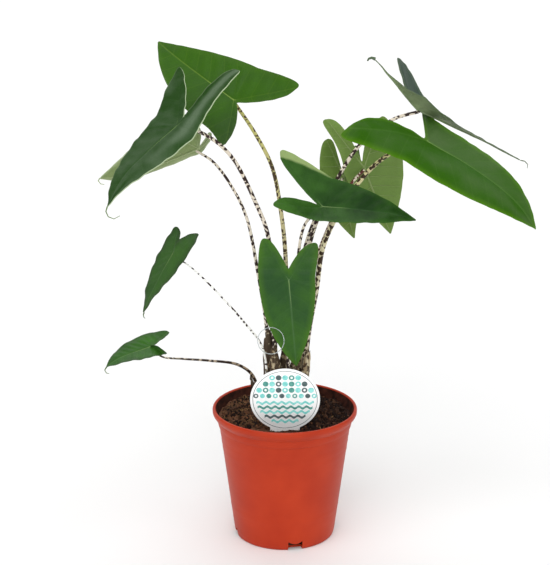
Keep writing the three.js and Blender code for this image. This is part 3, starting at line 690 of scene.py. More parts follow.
class Blade:
    """The surface of one blade in mm. A place on it is given by its side (0 left, 1 right), by how
    far it lies ahead of the junction along the midrib, and by how far out from the midrib."""

    def __init__(self, leaf):
        self.leaf = {**PLAIN_LEAF, **leaf}
        start, end = Vector(leaf["junction"]), Vector(leaf["tip"])
        chord = end - start
        self.length = chord.length
        along = chord.normalized()
        lobes = [Vector(lobe) for lobe in leaf["lobes"]]
        side = lobes[1] - lobes[0]
        side = (side - along * side.dot(along)).normalized()
        side.rotate(Quaternion(along, -math.radians(self.leaf["roll"])))
        up = side.cross(along)
        lean = up * self.leaf["arch"] + side * self.leaf["sweep"]
        self.side = side
        self.handles = (start, start + chord / 3 + lean * 0.6, start + chord * 2 / 3 + lean * 2, end)
        self.fold = [math.radians(a) for a in self.leaf["fold"]]
        self.curl = [math.radians(a) for a in self.leaf["curl"]]
        at, forward, across, up = self.frame(0)
        self.back, self.run, self.spread, self.rise = [], [], [], []
        for i, lobe in enumerate(lobes):
            reach = lobe - at
            out = (2 * i - 1) * reach.dot(across) / math.cos(self.fold[i] + self.curl[i] / 2)
            self.back.append(-reach.dot(forward))
            self.run.append(max(self.back[i], 0.6 * reach.length))
            self.spread.append(out)
            lift = section(out, self.leaf["half"][i], self.fold[i], self.curl[i])[1]
            self.rise.append(reach.dot(up) - lift)

    def frame(self, t):
        """A point of the midrib, t of the way to the tip, and its forward, across and up directions."""
        a, b, c, d = self.handles
        u = 1 - t
        at = a * u ** 3 + b * (3 * u * u * t) + c * (3 * u * t * t) + d * t ** 3
        forward = ((b - a) * u * u + (c - b) * (2 * u * t) + (d - c) * t * t).normalized()
        across = (self.side - forward * self.side.dot(forward)).normalized()
        across.rotate(Quaternion(forward, -math.radians(self.leaf["twist"]) * math.sqrt(max(t, 0))))
        return at, forward, across, across.cross(forward)

    def edges(self, i, x):
        """How far out the blade begins and ends at a place along the midrib."""
        half = self.leaf["half"][i]
        if x >= 0:
            return 0, TIP_HALF + (half - TIP_HALF) * (1 - min(x / self.length, 1) ** self.leaf["taper"][i])
        s = min(-x / self.run[i], 1)
        q = max(0, (s - self.leaf["web"]) / (1 - self.leaf["web"]))
        gape, end = self.leaf["gape"][i], self.leaf["round"][i]
        leaning = gape * q + (1 - gape) * (0.6 * q * q + 0.4 * (1 - math.sqrt(1 - q ** 8)))
        rounding = end * (1 - math.sqrt(1 - s ** 12))
        inner = (self.spread[i] - end - TIP_HALF) * leaning + rounding
        outer = (half + (self.spread[i] + end + TIP_HALF - half) * s ** 1.5
                 + self.leaf["bulge"][i] * half * s * (1 - s) - rounding)
        return inner, outer

    def point(self, i, x, out):
        """The place in space of a point of the blade."""
        hand = 2 * i - 1
        t = max(x, 0) / self.length
        at, forward, across, up = self.frame(t)
        fold = self.fold[i] * max(1 - t, 0) ** self.leaf["flatten"]
        flat, lift = section(out, self.leaf["half"][i], fold, self.curl[i])
        if x < 0:
            s = -x / self.run[i]
            at = at - forward * (self.back[i] * s)
            lift += self.rise[i] * s ** 1.3
        return at + across * (hand * flat) + up * lift

    def costa_line(self, i):
        """The unit direction of a lobe's main vein on the flattened blade."""
        back = -COSTA_END * self.run[i]
        inner, outer = self.edges(i, back)
        return Vector((back, inner + (outer - inner) * 0.5)).normalized()

    def costa(self, i, x, out):
        """How far a point lies along a lobe's main vein, and how far to its outer side."""
        line = self.costa_line(i)
        return x * line.x + out * line.y, x * line.y - out * line.x

    def slant(self, i, out):
        """How far a side vein has run towards the tip where it is `out` from the midrib."""
        return VEIN_SLANT * out + VEIN_CURVE * out * out / self.leaf["half"][i]

    def vein_phase(self, i, x, out):
        """A number that is n + 1/2 on each side vein and runs evenly between them."""
        gap = self.length / VEINS
        slant = self.slant(i, out)
        if x >= slant:
            return 0.5 + (x - slant) / gap
        along, outer = self.costa(i, x, out)
        short = LOBE_SLANT * abs(outer) - along
        if short <= 0:
            return -0.5 + short / gap
        return 0.5 - min(1, (slant - x) / max(slant - x + short, 1e-6))

    def rim(self, i, x, out):
        """How far a point lies from the margin."""
        inner, outer = self.edges(i, x)
        if x >= 0:
            return min(outer - out, self.length - x + TIP_HALF)
        sinus = x + self.leaf["web"] * self.run[i]
        if sinus > 0:
            return min(outer - out, math.hypot(sinus, out))
        return min(outer - out, out - inner, self.run[i] + x + TIP_HALF)


def blade_cage(blade):
    """A coarse sheet of quads over a blade, with the place of each point along and across it."""
    web = blade.leaf["web"]
    lobe_rows = [-web * part for part in (1, 0.5)] if web else []
    lobe_rows = [-(web + (1 - web) * part) for part in reversed(LOBE_ROWS[1:])] + lobe_rows
    rows = lobe_rows + list(FRONT_ROWS)
    verts, places, faces, known = [], [], [], {}

    def place_of(i, row, column):
        x = row * (blade.length if row >= 0 else blade.run[i])
        inner, outer = blade.edges(i, x)
        return x, inner + (outer - inner) * column

    def vertex(i, row, column):
        middle = column == 0 and row >= -web
        key = (2 if middle else i, row, column)
        if key not in known:
            known[key] = len(verts)
            sides = (0, 1) if middle else (i,)
            spots = [place_of(side, row, column) for side in sides]
            points = [blade.point(side, *spot) for side, spot in zip(sides, spots)]
            verts.append(sum(points, Vector((0, 0, 0))) / len(points))
            x = sum(spot[0] for spot in spots) / len(spots)
            places.append((x, 0 if middle else (2 * i - 1) * max(spots[0][1], 0.01)))
        return known[key]

    for i in (0, 1):
        for r in range(len(rows) - 1):
            for c in range(len(COLUMNS) - 1):
                quad = [vertex(i, rows[r], COLUMNS[c]), vertex(i, rows[r + 1], COLUMNS[c]),
                        vertex(i, rows[r + 1], COLUMNS[c + 1]), vertex(i, rows[r], COLUMNS[c + 1])]
                faces.append(quad if i == 0 else quad[::-1])
    return verts, places, faces


def along_blade(blade, key, i, x):
    """A value of a blade at a place along it, from its values at lobes, junction and tip."""
    lobe, base, tip = (pair[i] for pair in blade.leaf[key])
    if x < 0:
        return base + (lobe - base) * min(-x / blade.run[i], 1)
    return base + (tip - base) * x / blade.length


def grow_blade(name, blade):
    """The upper sheet of a blade, smooth, quilted between its veins and wavy along its margin."""
    verts, places, faces = blade_cage(blade)
    along, across = zip(*places)
    sheet = mesh_piece(f"leaf_{name}", verts, faces, along=along, across=across)
    modify(sheet, "SUBSURF", levels=2)
    mesh = sheet.data
    count = len(mesh.vertices)
    along, across = np.zeros(count, "f"), np.zeros(count, "f")
    mesh.attributes["along"].data.foreach_get("value", along)
    mesh.attributes["across"].data.foreach_get("value", across)
    normals = [v.vector.copy() for v in mesh.vertex_normals]
    marks = {label: np.zeros(count, "f") for label in ("rim", "costa", "vein", "tone_and_painted_light", "pale", "rolled")}
    seed = Vector((len(name) * 3.7, 0, 0))
    for n, vertex in enumerate(mesh.vertices):
        i, x, out = int(across[n] > 0), float(along[n]), abs(float(across[n]))
        rim = max(blade.rim(i, x, out), 0)
        reach, aside = blade.costa(i, x, out)
        if reach <= 0:
            aside = NO_LINE
        phase = blade.vein_phase(i, x, out)
        inner, outer = blade.edges(i, x)
        rolled = 0
        if blade.leaf["rolled"] and blade.leaf["rolled"][0] == i and x < 0:
            width = blade.leaf["rolled"][1] * (-x / blade.run[i]) ** 1.2
            rolled = min(max(0.5 + (width - (outer - out)) / 1.6, 0), 1)
        # the band along the middle of each half that takes the painted highlight
        painted_sheen_band = math.exp(-(((out - inner) / max(outer - inner, 1) - 0.5) / 0.2) ** 2)
        marks["rim"][n] = rim
        marks["costa"][n] = aside
        marks["vein"][n] = phase
        marks["pale"][n] = blade.leaf["edge"][int(x < 0 and out - inner < outer - out)][i]
        marks["rolled"][n] = rolled
        # painted light and shade, and the painted highlight on that band, go into this mark with the leaf's
        # own shading of green
        marks["tone_and_painted_light"][n] = along_blade(blade, "tone_and_painted_light", i, x) + along_blade(blade, "painted_sheen", i, x) * painted_sheen_band
        rib = min(out if x > 0 else NO_LINE, abs(aside))
        spot = vertex.co / MM + seed
        quilt = QUILT * math.cos(2 * math.pi * phase) * min(rim / 8, 1) * min(rib / 6, 1)
        swell = SWELL * noise.noise(spot / 38) * min(rim / 10, 1)
        wave = blade.leaf["wave"] * math.exp(-rim / 7) * noise.noise(spot / 11) * 2.2
        groove = -GROOVE * math.exp(-(rib / 1.3) ** 2)
        vertex.co += normals[n] * ((quilt + swell + wave + groove + ROLL_RISE * rolled) * MM)
    add_floats(mesh, marks)
    return sheet


def vein_paths(blade):
    """The veins that stand out below, each as its radius where it starts and the places along it."""
    midrib_root, costa_root, side_root, lobe_root = VEIN_ROOTS
    paths = [(midrib_root, [(0, blade.length * k / 24 * 0.98, 0.0) for k in range(25)])]
    gap = blade.length / VEINS
    for i in (0, 1):
        line = blade.costa_line(i)
        reach = 0.95 * blade.run[i] / max(-line.x, 0.2)
        way = line * (reach / 16)
        paths.append((costa_root, [(i, way.x * k, way.y * k) for k in range(17)]))
        for n in range(int(VEINS)):
            path = []
            for k in range(15):
                out = blade.leaf["half"][i] * k / 12
                x = n * gap + blade.slant(i, out)
                if x > blade.length * 0.97 or out > blade.edges(i, x)[1] * 0.96:
                    break
                path.append((i, x, out))
            paths.append((side_root - 0.05 * n, path))
        for n in range(int(reach / gap) + 1):
            for side in (1, -1):
                path = []
                for k in range(15):
                    outer = side * 3 * k
                    spot = line * (n * gap + LOBE_SLANT * abs(outer)) + Vector((line.y, -line.x)) * outer
                    near, far = blade.edges(i, spot.x)
                    if not -blade.run[i] <= spot.x <= 0 or not near + 0.5 < spot.y < far * 0.97:
                        break
                    path.append((i, spot.x, spot.y))
                paths.append((lobe_root, path))
    return [(root, path) for root, path in paths if len(path) > 3]


def raised_veins(name, blade, sheet):
    """Tapering ribs along the veins, half sunk in the under side of a sheet."""
    verts, faces = [], []
    for root, path in vein_paths(blade):
        spine = []
        for k, place in enumerate(path):
            _, at, normal, _ = sheet.closest_point_on_mesh(blade.point(*place) * MM)
            radius = root * (1 - 0.75 * k / (len(path) - 1))
            spine.append((at / MM - normal * (BLADE_THICK / 2 + radius * 0.25), radius))
        append_part(verts, faces, tube(spine, 6))
    return mesh_piece(f"veins_{name}", verts, faces)


def line_mask(add, distance, width, soft):
    """1 on a line and 0 away from it, from the distance to its middle."""
    near = add("Math", {0: distance}, operation="ABSOLUTE")
    return add("MapRange", {"Value": near, "From Min": width, "From Max": width + soft, "To Min": 1,
                            "To Max": 0})


def product(add, *values):
    """The product of several numbers."""
    result = values[0]
    for value in values[1:]:
        result = add("Math", {0: result, 1: value}, operation="MULTIPLY")
    return result


def waxy_leaf(name, blade, face):
    """A living leaf under its wax: satin, with fine net veins between the side veins, which are
    paler than the green, and a thin pale margin. The under side is duller and lighter."""
    leaf = blade.leaf
    upper = face == "upper"
    material, add = new_material(f"leaf_waxy_{face}_{name}")
    mark = {label: add("Attribute", out="Fac", attribute_name=label)
            for label in ("along", "across", "rim", "costa", "vein", "tone_and_painted_light", "pale", "rolled")}
    place = add("TexCoord", out="Object")
    patches = add("TexNoise", {"Vector": place, "Scale": 38, "Detail": 5})
    net = add("TexVoronoi", {"Vector": place, "Scale": 330}, feature="DISTANCE_TO_EDGE")
    cells = add("MapRange", {"Value": net, "From Max": 0.25})
    spread = add("MapRange", {"Value": patches, "From Min": 0.3, "From Max": 0.7, "To Min": -0.27,
                              "To Max": 0.27})
    # the greens are mixed by that mark, so they carry its painted light, shade and highlight; below only
    # where under_tone is set
    tone_and_painted_light = mark["tone_and_painted_light"] if upper or leaf["under_tone"] else 0.5
    level = add("Math", {0: tone_and_painted_light, 1: spread}, operation="ADD", use_clamp=True)
    low, high = ("deep", "bright") if upper else ("under_deep", "under")
    green = mixed(add, level, leaf[low], leaf[high])
    green = mixed(add, product(add, cells, 0.1), green, "#16321c" if upper else "#4e6034")
    wave = add("Math", {0: mark["vein"]}, operation="FRACT")
    offset = add("Math", {0: wave, 1: 0.5}, operation="SUBTRACT")
    side_vein = line_mask(add, product(add, offset, blade.length / VEINS), 0.1, 0.8)
    ahead = add("MapRange", {"Value": mark["along"], "From Min": -3, "From Max": 1})
    fade = add("MapRange", {"Value": mark["along"], "From Max": blade.length, "To Min": 1, "To Max": 0.45})
    strength, width, soft = leaf["midrib"]
    midrib = product(add, line_mask(add, mark["across"], width, soft), ahead, fade, strength)
    costa = product(add, line_mask(add, mark["costa"], width * 0.6, soft), leaf["costa"])
    edge = add("MapRange", {"Value": mark["rim"], "From Min": 0.5, "From Max": 1, "To Min": 1, "To Max": 0})
    for factor, colour in (
            (product(add, side_vein, leaf["veins"] + (0 if upper else 0.05)), leaf["rib"]),
            (product(add, line_mask(add, mark["rim"], 0.5, 7), leaf["glow"]), leaf["rim"]),
            (costa, leaf["rib"]), (midrib, leaf["rib"]),
            (product(add, edge, mark["pale"]), leaf["rim"])):
        green = mixed(add, factor, green, colour)
    if upper and leaf["rolled"]:
        green = mixed(add, mark["rolled"], green, leaf["under"])
    height = add("Math", {0: cells, 1: patches}, operation="ADD")
    bump = add("Bump", {"Height": height, "Strength": 0.16, "Distance": 0.0004})
    return with_surface(material, add, {
        "Base Color": green, "Roughness": 0.4 if upper else 0.55, "IOR": 1.45,
        "Specular IOR Level": leaf["gloss"], "Normal": bump})


def leaf_rib(name, blade):
    """The raised vein under a leaf: smooth, pale and a little mottled."""
    material, add = new_material(f"leaf_rib_{name}")
    patches = add("TexNoise", {"Vector": add("TexCoord", out="Object"), "Scale": 120, "Detail": 2})
    green = mixed(add, patches, blade.leaf["under"], blade.leaf["rib"])
    return with_surface(material, add, {"Base Color": green, "Roughness": 0.45, "Specular IOR Level": 0.2})


blades = {name: Blade(leaf) for name, leaf in LEAVES.items()}
for name, blade in blades.items():
    piece = grow_blade(name, blade)
    veins = raised_veins(name, blade, piece)
    for face in ("upper", "under"):
        piece.data.materials.append(waxy_leaf(name, blade, face))
    modify(piece, "SOLIDIFY", thickness=BLADE_THICK * MM, offset=0, material_offset=1)
    veins.data.materials.append(leaf_rib(name, blade))
    extras = [veins]
    # the fine tips: where each starts, its radius there, and the face that its colour is taken from
    curls = (("thread", blade.leaf["tip"], 0.8, 1), ("hook", blade.leaf["lobes"][1], 2.3, 0))
    for curl, start, root, face in curls:
        if blade.leaf[curl]:
            path = [Vector(p) for p in (start, *blade.leaf[curl])]
            spine = [(at, root * (1 - 0.6 * k / (len(path) - 1))) for k, at in enumerate(path)]
            extras.append(mesh_piece(f"{curl}_{name}", *tube(spine, 6)))
            extras[-1].data.materials.append(piece.data.materials[face])
    join_to(piece, *extras)
    smooth_by_angle(piece, 60)
    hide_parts(f"blade_{name}")
    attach(piece, "root")


# ---------------------------------------------------------------- petioles
# The leaf stalks: long, round and fleshy, cream with dark brown bands that cross them in zigzags.
# They rise from the crown in the compost and run into the midribs.

SEAT_PART = 0.03
HOLE_DEPTH = 25.7
STALK_SIDES = 20
STALK_STEP = 2.5

# ground and top: the pale colour below and at the blade; stripe: the dark bands; period: how far
# apart they are in mm; cover: how much of the stalk they take, below and above, from -1 to 1;
# fleck: how strong the fine brown streaks in the pale parts are
PLAIN_STALK = {"ground": "#e4d8c8", "top": "#e2d8c6", "stripe": "#2e1d19", "period": 7.5,
               "cover": (1.1, 0), "fleck": 0.3}
STALKS = {
    "back_left": {"ground": "#dccfb0", "top": "#b4b168", "stripe": "#453620", "period": 6,
                  "cover": (1, -0.3)},
    "upper_left": {"cover": (1.3, 0.1)},
    "hidden_left": {"ground": "#e8dfd2", "period": 8, "cover": (1.4, -0.2)},
    "small_left": {"ground": "#f6f5f0", "top": "#f8f8f4", "period": 8, "cover": (0.1, -0.5),
                   "fleck": 0.05},
    "low_left": {"ground": "#a8937a", "top": "#d2c9b4", "stripe": "#33251d", "period": 9,
                 "cover": (0.3, 0.9)},
    "front": {},
    "middle": {},
    "right": {"ground": "#e6dcc4", "top": "#d9d094", "stripe": "#3a2a18", "period": 8.5},
    "upper_right": {},
    "back_right": {"ground": "#d9bba8", "stripe": "#5f2f28", "period": 6},
    "back_middle": {"period": 6.5},
}


def smooth_route(points, step):
    """Points every `step` mm along a centripetal Catmull-Rom curve through the given points."""
    points = [points[0] * 2 - points[1], *points, points[-1] * 2 - points[-2]]
    fine = []
    for a, b, c, d in zip(points, points[1:], points[2:], points[3:]):
        before, here, after = ((q - p).length ** 0.5 for p, q in ((a, b), (b, c), (c, d)))
        start = ((b - a) / before - (c - a) / (before + here) + (c - b) / here) * here
        end = ((c - b) / here - (d - b) / (here + after) + (d - c) / after) * here
        for k in range(40):
            t = k / 40
            fine.append(b * (2 * t ** 3 - 3 * t * t + 1) + c * (3 * t * t - 2 * t ** 3)
                        + start * (t ** 3 - 2 * t * t + t) + end * (t ** 3 - t * t))
    fine.append(points[-2])
    reach = [0]
    for p, q in zip(fine, fine[1:]):
        reach.append(reach[-1] + (q - p).length)
    count = max(int(reach[-1] / step), 2)
    even = np.linspace(0, reach[-1], count + 1)
    columns = [np.interp(even, reach, [p[axis] for p in fine]) for axis in range(3)]
    return [Vector(p) for p in zip(*columns)], reach[-1]


def stalk_spine(blade):
    """The middle line of a stalk as points and radii, from below the compost to the midrib."""
    route = [Vector(p) for p in blade.leaf["route"]]
    foot = Vector((route[0].x, route[0].y, soil_height(route[0].x, route[0].y) - HOLE_DEPTH))
    at, forward, across, up = blade.frame(SEAT_PART)
    root, top = blade.leaf["radius"]
    path, length = smooth_route([foot, *route, at - up * (top * 0.55)], STALK_STEP)
    spine = []
    for i, point in enumerate(path):
        t = i / (len(path) - 1)
        above = i * STALK_STEP - HOLE_DEPTH
        swelling = 1 + 0.22 * math.exp(-(max(above, 0) / 16) ** 2)
        end = min((1 - t) * length / top, 1)
        taper = 0.55 + 0.45 * math.sqrt(1 - (1 - end) ** 2)
        radius = (root + (top - root) * t ** 0.7) * swelling * taper
        spine.append((point, radius))
    return spine


def grow_stalk(name, blade):
    """The stalk of a leaf, with the place of each point round and along it."""
    spine = stalk_spine(blade)
    upward = [i / (len(spine) - 1) for i in range(len(spine)) for _ in range(STALK_SIDES)]
    piece = mesh_piece(f"stalk_{name}", *tube(spine, STALK_SIDES), upward=upward)
    marks = []
    for i, (_, radius) in enumerate(spine):
        for x, y in circle(radius, STALK_SIDES):
            marks += [x, y, i * STALK_STEP + 400 * len(name)]
    place = piece.data.attributes.new("round_and_along", "FLOAT_VECTOR", "POINT")
    place.data.foreach_set("vector", marks)
    return piece


def zebra_stalk(name, look):
    """Fleshy leaf stalk: smooth and waxy, its skin crossed by ragged dark bands."""
    material, add = new_material(f"stalk_waxy_{name}")
    spot = add("Attribute", out="Vector", attribute_name="round_and_along")
    upward = add("Attribute", out="Fac", attribute_name="upward")
    drift = add("Mapping", {"Vector": spot, "Scale": (0.16, 0.16, 0.1)})
    wander = add("TexNoise", {"Vector": drift, "Scale": 1, "Detail": 1})
    turns = product(add, add("SeparateXYZ", {"Vector": spot}, "Z"), 1 / look["period"])
    turns = add("Math", {0: wander, 1: 2.4, 2: turns}, operation="MULTIPLY_ADD")
    wave = add("Math", {0: product(add, turns, 2 * math.pi)}, operation="SINE")
    grain = add("Mapping", {"Vector": spot, "Scale": (0.26, 0.26, 0.2)})
    ragged = add("TexNoise", {"Vector": grain, "Scale": 1, "Detail": 2, "Roughness": 0.4})
    ragged = add("MapRange", {"Value": ragged, "From Min": 0.32, "From Max": 0.68, "To Min": -1.7,
                              "To Max": 1.7}, clamp=False)
    height = add("Math", {0: 1, 1: upward}, operation="SUBTRACT")
    height = add("Math", {0: height, 1: 3.5}, operation="POWER")
    low, high = look["cover"]
    cover = add("MapRange", {"Value": height, "To Min": high, "To Max": low})
    level = add("Math", {0: wave, 1: ragged}, operation="ADD")
    level = add("Math", {0: level, 1: cover}, operation="ADD")
    dark = add("MapRange", {"Value": level, "From Min": -0.15, "From Max": 0.2})
    ripe = add("MapRange", {"Value": upward, "From Min": 0.35, "From Max": 0.9})
    ground = mixed(add, ripe, look["ground"], look["top"])
    streaks = add("Mapping", {"Vector": spot, "Scale": (1.2, 1.2, 0.12)})
    fleck = add("TexNoise", {"Vector": streaks, "Scale": 1, "Detail": 3})
    shade = add("MapRange", {"Value": fleck, "From Min": 0.45, "From Max": 0.75, "To Max": look["fleck"]})
    ground = mixed(add, shade, ground, "#94795f")
    bump = add("Bump", {"Height": fleck, "Strength": 0.25, "Distance": 0.0004})
    return with_surface(material, add, {
        "Base Color": mixed(add, dark, ground, look["stripe"]), "Roughness": 0.42,
        "Specular IOR Level": 0.25, "Normal": bump})


for name, blade in blades.items():
    stalk = grow_stalk(name, blade)
    stalk.data.materials.append(zebra_stalk(name, {**PLAIN_STALK, **STALKS[name]}))
    smooth_by_angle(stalk, 60)
    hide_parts(f"petiole_{name}")
    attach(stalk, "root")


# ---------------------------------------------------------------- sheaths
# Leaf sheaths: thin papery skirts that wrap the feet of the stalks one over another, cream with
# brown blotches and streaks. They grow with the stalks and are torn along the top.

# the stalk that each one wraps, which way it faces in degrees, its height, how far it stands off
# the stalk, its half width in degrees and how dark it is
SHEATHS = (
    ("back_middle", -80, 64, 3.4, 95, 0.3), ("back_right", -60, 58, 3, 90, 0.3),
    ("upper_right", -80, 66, 3.6, 95, 0.2), ("back_left", -90, 70, 3.6, 95, 0.4),
    ("hidden_left", -62, 104, 3.6, 125, 0.85), ("small_left", -80, 56, 2.8, 100, 0.3),
    ("upper_left", -100, 86, 3.2, 105, 0.7), ("right", -70, 78, 1.6, 90, 0.1),
    ("middle", -80, 66, 2, 95, 0.2), ("front", -85, 48, 2, 95, 0.1), ("low_left", 185, 34, 1.2, 90, 1),
)
SHEATH_THICK = 0.45
SHEATH_COLUMNS = 18


def sheath(number, name, facing, height, spare, width, gloom):
    """One sheath: a strip of a tapering tube that follows its stalk, with a torn top."""
    verts, faces, upward = [], [], []
    stations = [(at, radius) for i, (at, radius) in enumerate(stalk_spine(blades[name]))
                if -4 < i * STALK_STEP - HOLE_DEPTH < height]
    for r, (at, radius) in enumerate(stations):
        t = r / (len(stations) - 1)
        for c in range(SHEATH_COLUMNS + 1):
            u = 2 * c / SHEATH_COLUMNS - 1
            angle = math.radians(facing + width * u * (1 - 0.55 * t ** 3))
            torn = noise.noise(Vector((number * 9, u * 3.2, 0))) * 9 * t ** 4 - abs(u) ** 3 * 12 * t ** 3
            ruffle = 0.8 * noise.noise(Vector((number * 9 + u * 2, t * 5, 3))) * t
            reach = radius + 0.5 + spare * (0.55 + 0.45 * t * t) + ruffle
            verts.append(at + Vector((reach * math.cos(angle), reach * math.sin(angle), torn)))
            upward.append(t)
    for r in range(len(stations) - 1):
        for c in range(SHEATH_COLUMNS):
            a = r * (SHEATH_COLUMNS + 1) + c
            faces.append((a, a + 1, a + SHEATH_COLUMNS + 2, a + SHEATH_COLUMNS + 1))
    skirt = mesh_piece(f"sheath_{name}", verts, faces, upward=upward, gloom=[gloom] * len(verts))
    modify(skirt, "SOLIDIFY", thickness=SHEATH_THICK * MM, offset=0)
    return skirt


def papery_sheath():
    """A drying leaf sheath: thin, cream with dark brown blotches and fine streaks that run up it."""
    material, add = new_material("sheath_dry_paper")
    place = add("TexCoord", out="Object")
    gloom = add("Attribute", out="Fac", attribute_name="gloom")
    drawn = add("Mapping", {"Vector": place, "Scale": (420, 420, 45)})
    streak = add("TexNoise", {"Vector": drawn, "Scale": 1, "Detail": 4})
    tint = add("ValToRGB", {"Fac": streak}, stops=((0.36, "#8d7657"), (0.66, "#dccfae")))
    patches = add("Mapping", {"Vector": place, "Scale": (230, 230, 170)})
    blotch = add("TexNoise", {"Vector": patches, "Scale": 1, "Detail": 2})
    level = add("Math", {0: gloom, 1: 0.22, 2: blotch}, operation="MULTIPLY_ADD")
    dark = add("MapRange", {"Value": level, "From Min": 0.5, "From Max": 0.58, "To Max": 0.92})
    bump = add("Bump", {"Height": streak, "Strength": 0.5, "Distance": 0.0006})
    return with_surface(material, add, {
        "Base Color": mixed(add, dark, tint, "#38261c"), "Roughness": 0.7, "Specular IOR Level": 0.2,
        "Normal": bump})


skirts = [sheath(number, *spec) for number, spec in enumerate(SHEATHS)]
join_to(*skirts)
sheaths = skirts[0]
sheaths.name = "sheaths_dry"
sheaths.data.materials.append(papery_sheath())
smooth_by_angle(sheaths, 60)
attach(sheaths, "root")


# ---------------------------------------------------------------- label
# A plant label punched from white plastic sheet: a round card on a flat pointed stem, pushed into
# the compost just behind the front of the rim. The card has a plain printed pattern of rings,
# dots and waves in turquoise, sea green and slate.

DISC_R = 40
LABEL_THICK = 0.9
STEM_HALF = 17
STEM_END = DISC_R + 36
STEM_POINT = 16
LABEL_LEAN = math.radians(8)
LABEL_AT = Vector((0, -50, 185.5))
EDGE_EASE = 0.15
PRINT_RISE = 0.06
PRINT_GAP = 0.005

# the dots: height of each row, how many, their radius; the waves: half the length of each
DOT_ROWS = ((28.5, 5, 3.3), (20.5, 7, 3.3), (12.5, 9, 3.3), (5, 10, 2.9))
DOT_STEP = 7.4
DOT_INKS = (0, 1, 0, 2)
WAVE_HALVES = (33, 31.5, 28.5, 23.5, 15.5)
WAVE_INKS = (0, 1, 0, 2, 0)
INKS = (("ink_turquoise", "#9fe8e2", "#74d0ca"), ("ink_sea_green", "#5fa79c", "#3f8a80"),
        ("ink_slate_green", "#5c6f70", "#42585a"))


def label_card():
    """The card, cut from sheet with its corners eased."""
    turn = math.asin(STEM_HALF / DISC_R)
    outline = [(DISC_R * math.cos(a), DISC_R * math.sin(a))
               for a in np.linspace(-math.pi / 2 + turn, 1.5 * math.pi - turn, 120)]
    outline += [(-STEM_HALF, STEM_POINT - STEM_END), (0, -STEM_END), (STEM_HALF, STEM_POINT - STEM_END)]
    face = tuple(range(len(outline)))
    card = mesh_piece("label_card", [(x, y, -LABEL_THICK / 2) for x, y in outline], [face])
    modify(card, "SOLIDIFY", thickness=LABEL_THICK * MM, offset=1)
    modify(card, "BEVEL", width=EDGE_EASE * MM, segments=2, limit_method="ANGLE")
    return card


def flat_ring(middle, inner, outer, sides=48):
    """A flat printed ring, or a dot where the inner radius is 0."""
    rims = [[(middle[0] + x, middle[1] + y, 0) for x, y in circle(r, sides)] for r in (outer, inner) if r]
    if not inner:
        return rims[0], [tuple(range(sides))]
    return rims[0] + rims[1], ring_faces(2, sides)


def flat_wave(start, length, height, waves, width, steps=60):
    """A flat printed wavy line."""
    verts = []
    for i in range(steps + 1):
        t = i / steps
        x = start[0] + length * t
        y = start[1] + height * math.sin(2 * math.pi * waves * t)
        verts += [(x, y - width / 2, 0), (x, y + width / 2, 0)]
    return verts, [(2 * i, 2 * i + 2, 2 * i + 3, 2 * i + 1) for i in range(steps)]


def label_print():
    """All the printed marks in one skin of ink, each face with the number of its ink."""
    marks = []
    for row, (y, count, size) in enumerate(DOT_ROWS):
        for i in range(count):
            x = (i - (count - 1) / 2) * DOT_STEP
            hole = 0 if (i + row) % 3 else size * 0.45
            marks.append((flat_ring((x, y), hole, size), DOT_INKS[(i * 3 + row) % 4]))
    for row, half in enumerate(WAVE_HALVES):
        marks.append((flat_wave((-half, -4 - 6 * row), 2 * half, 1.3, 2 * half / 9, 3), WAVE_INKS[row]))
    marks.append((flat_ring((0, 0), 36.6, 37.2, 120), 2))
    verts, faces, inks = [], [], []
    for mark, ink in marks:
        append_part(verts, faces, mark)
        inks += [ink] * len(mark[1])
    printed = mesh_piece("label_print", verts, faces)
    printed.data.polygons.foreach_set("material_index", inks)
    modify(printed, "SOLIDIFY", thickness=PRINT_RISE * MM, offset=1)
    printed.data.transform(Matrix.Translation((0, 0, (LABEL_THICK / 2 + PRINT_GAP) * MM)))
    return printed


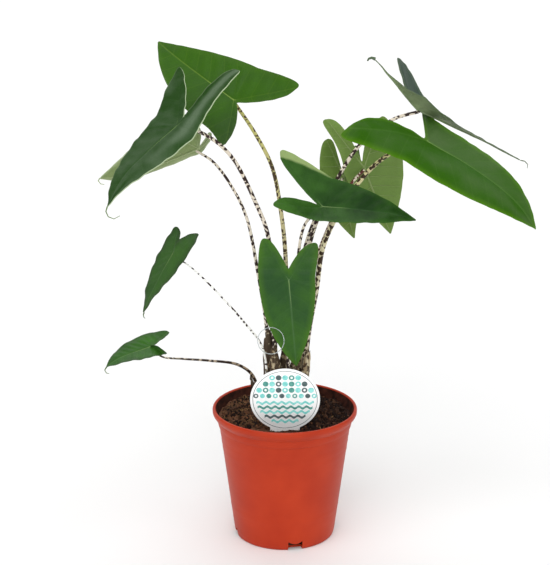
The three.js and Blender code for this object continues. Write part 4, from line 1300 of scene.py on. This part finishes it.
def label_sheet():
    """Calendered white plastic sheet: clean white, satin, with the faintest mottle."""
    material, add = new_material("plastic_sheet_white")
    mottle = add("TexNoise", {"Vector": add("TexCoord", out="Object"), "Scale": 60, "Detail": 4})
    tint = add("ValToRGB", {"Fac": mottle}, stops=((0, "#f8faf9"), (1, "#fefefe")))
    rough = add("MapRange", {"Value": mottle, "To Min": 0.4, "To Max": 0.55})
    return with_surface(material, add, {"Base Color": tint, "Roughness": rough})


def screen_ink(name, pale_hex, deep_hex):
    """Screen ink, slightly uneven in its cover."""
    material, add = new_material(name)
    cover = add("TexNoise", {"Vector": add("TexCoord", out="Object"), "Scale": 260, "Detail": 2})
    tint = add("ValToRGB", {"Fac": cover}, stops=((0.35, deep_hex), (0.65, pale_hex)))
    return with_surface(material, add, {"Base Color": tint, "Roughness": 0.5})


card = label_card()
card.data.materials.append(label_sheet())
prints = label_print()
for ink in INKS:
    prints.data.materials.append(screen_ink(*ink))
stand = Matrix.Translation(LABEL_AT * MM) @ Matrix.Rotation(math.pi / 2 + LABEL_LEAN, 4, "X")
for sheet in (card, prints):
    sheet.data.transform(stand)
    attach(sheet, "root")
smooth_by_angle(card, 30)
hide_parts("label")


# ---------------------------------------------------------------- ring clip
# A small ring of thin clear polythene wire, extruded, bent round and welded at its ends. It hangs
# against the front of the stalks.

RING_R = 15
WIRE_R = 0.5
RING_AT = Vector((-16.2, -45.6, 255.2))
RING_LEAN = math.radians(17)


def clear_plastic():
    """Clear polythene wire, a little cloudy."""
    material, add = new_material("polythene_clear")
    cloud = add("TexNoise", {"Vector": add("TexCoord", out="Object"), "Scale": 300})
    tint = add("ValToRGB", {"Fac": cloud}, stops=((0, "#b9c4c6"), (1, "#e6ecec")))
    return with_surface(material, add, {
        "Base Color": tint, "Roughness": 0.25, "Transmission Weight": 0.55, "IOR": 1.5, "Alpha": 0.75})


bpy.ops.mesh.primitive_torus_add(major_radius=RING_R * MM, minor_radius=WIRE_R * MM, major_segments=96,
                                 minor_segments=12)
ring = bpy.context.object
ring.name = "ring_clip"
ring.select_set(False)
ring.data.transform(Matrix.Translation(RING_AT * MM) @ Matrix.Rotation(math.pi / 2 - RING_LEAN, 4, "X"))
ring.data.materials.append(clear_plastic())
smooth_by_angle(ring, 60)
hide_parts("ring")
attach(ring, "root")
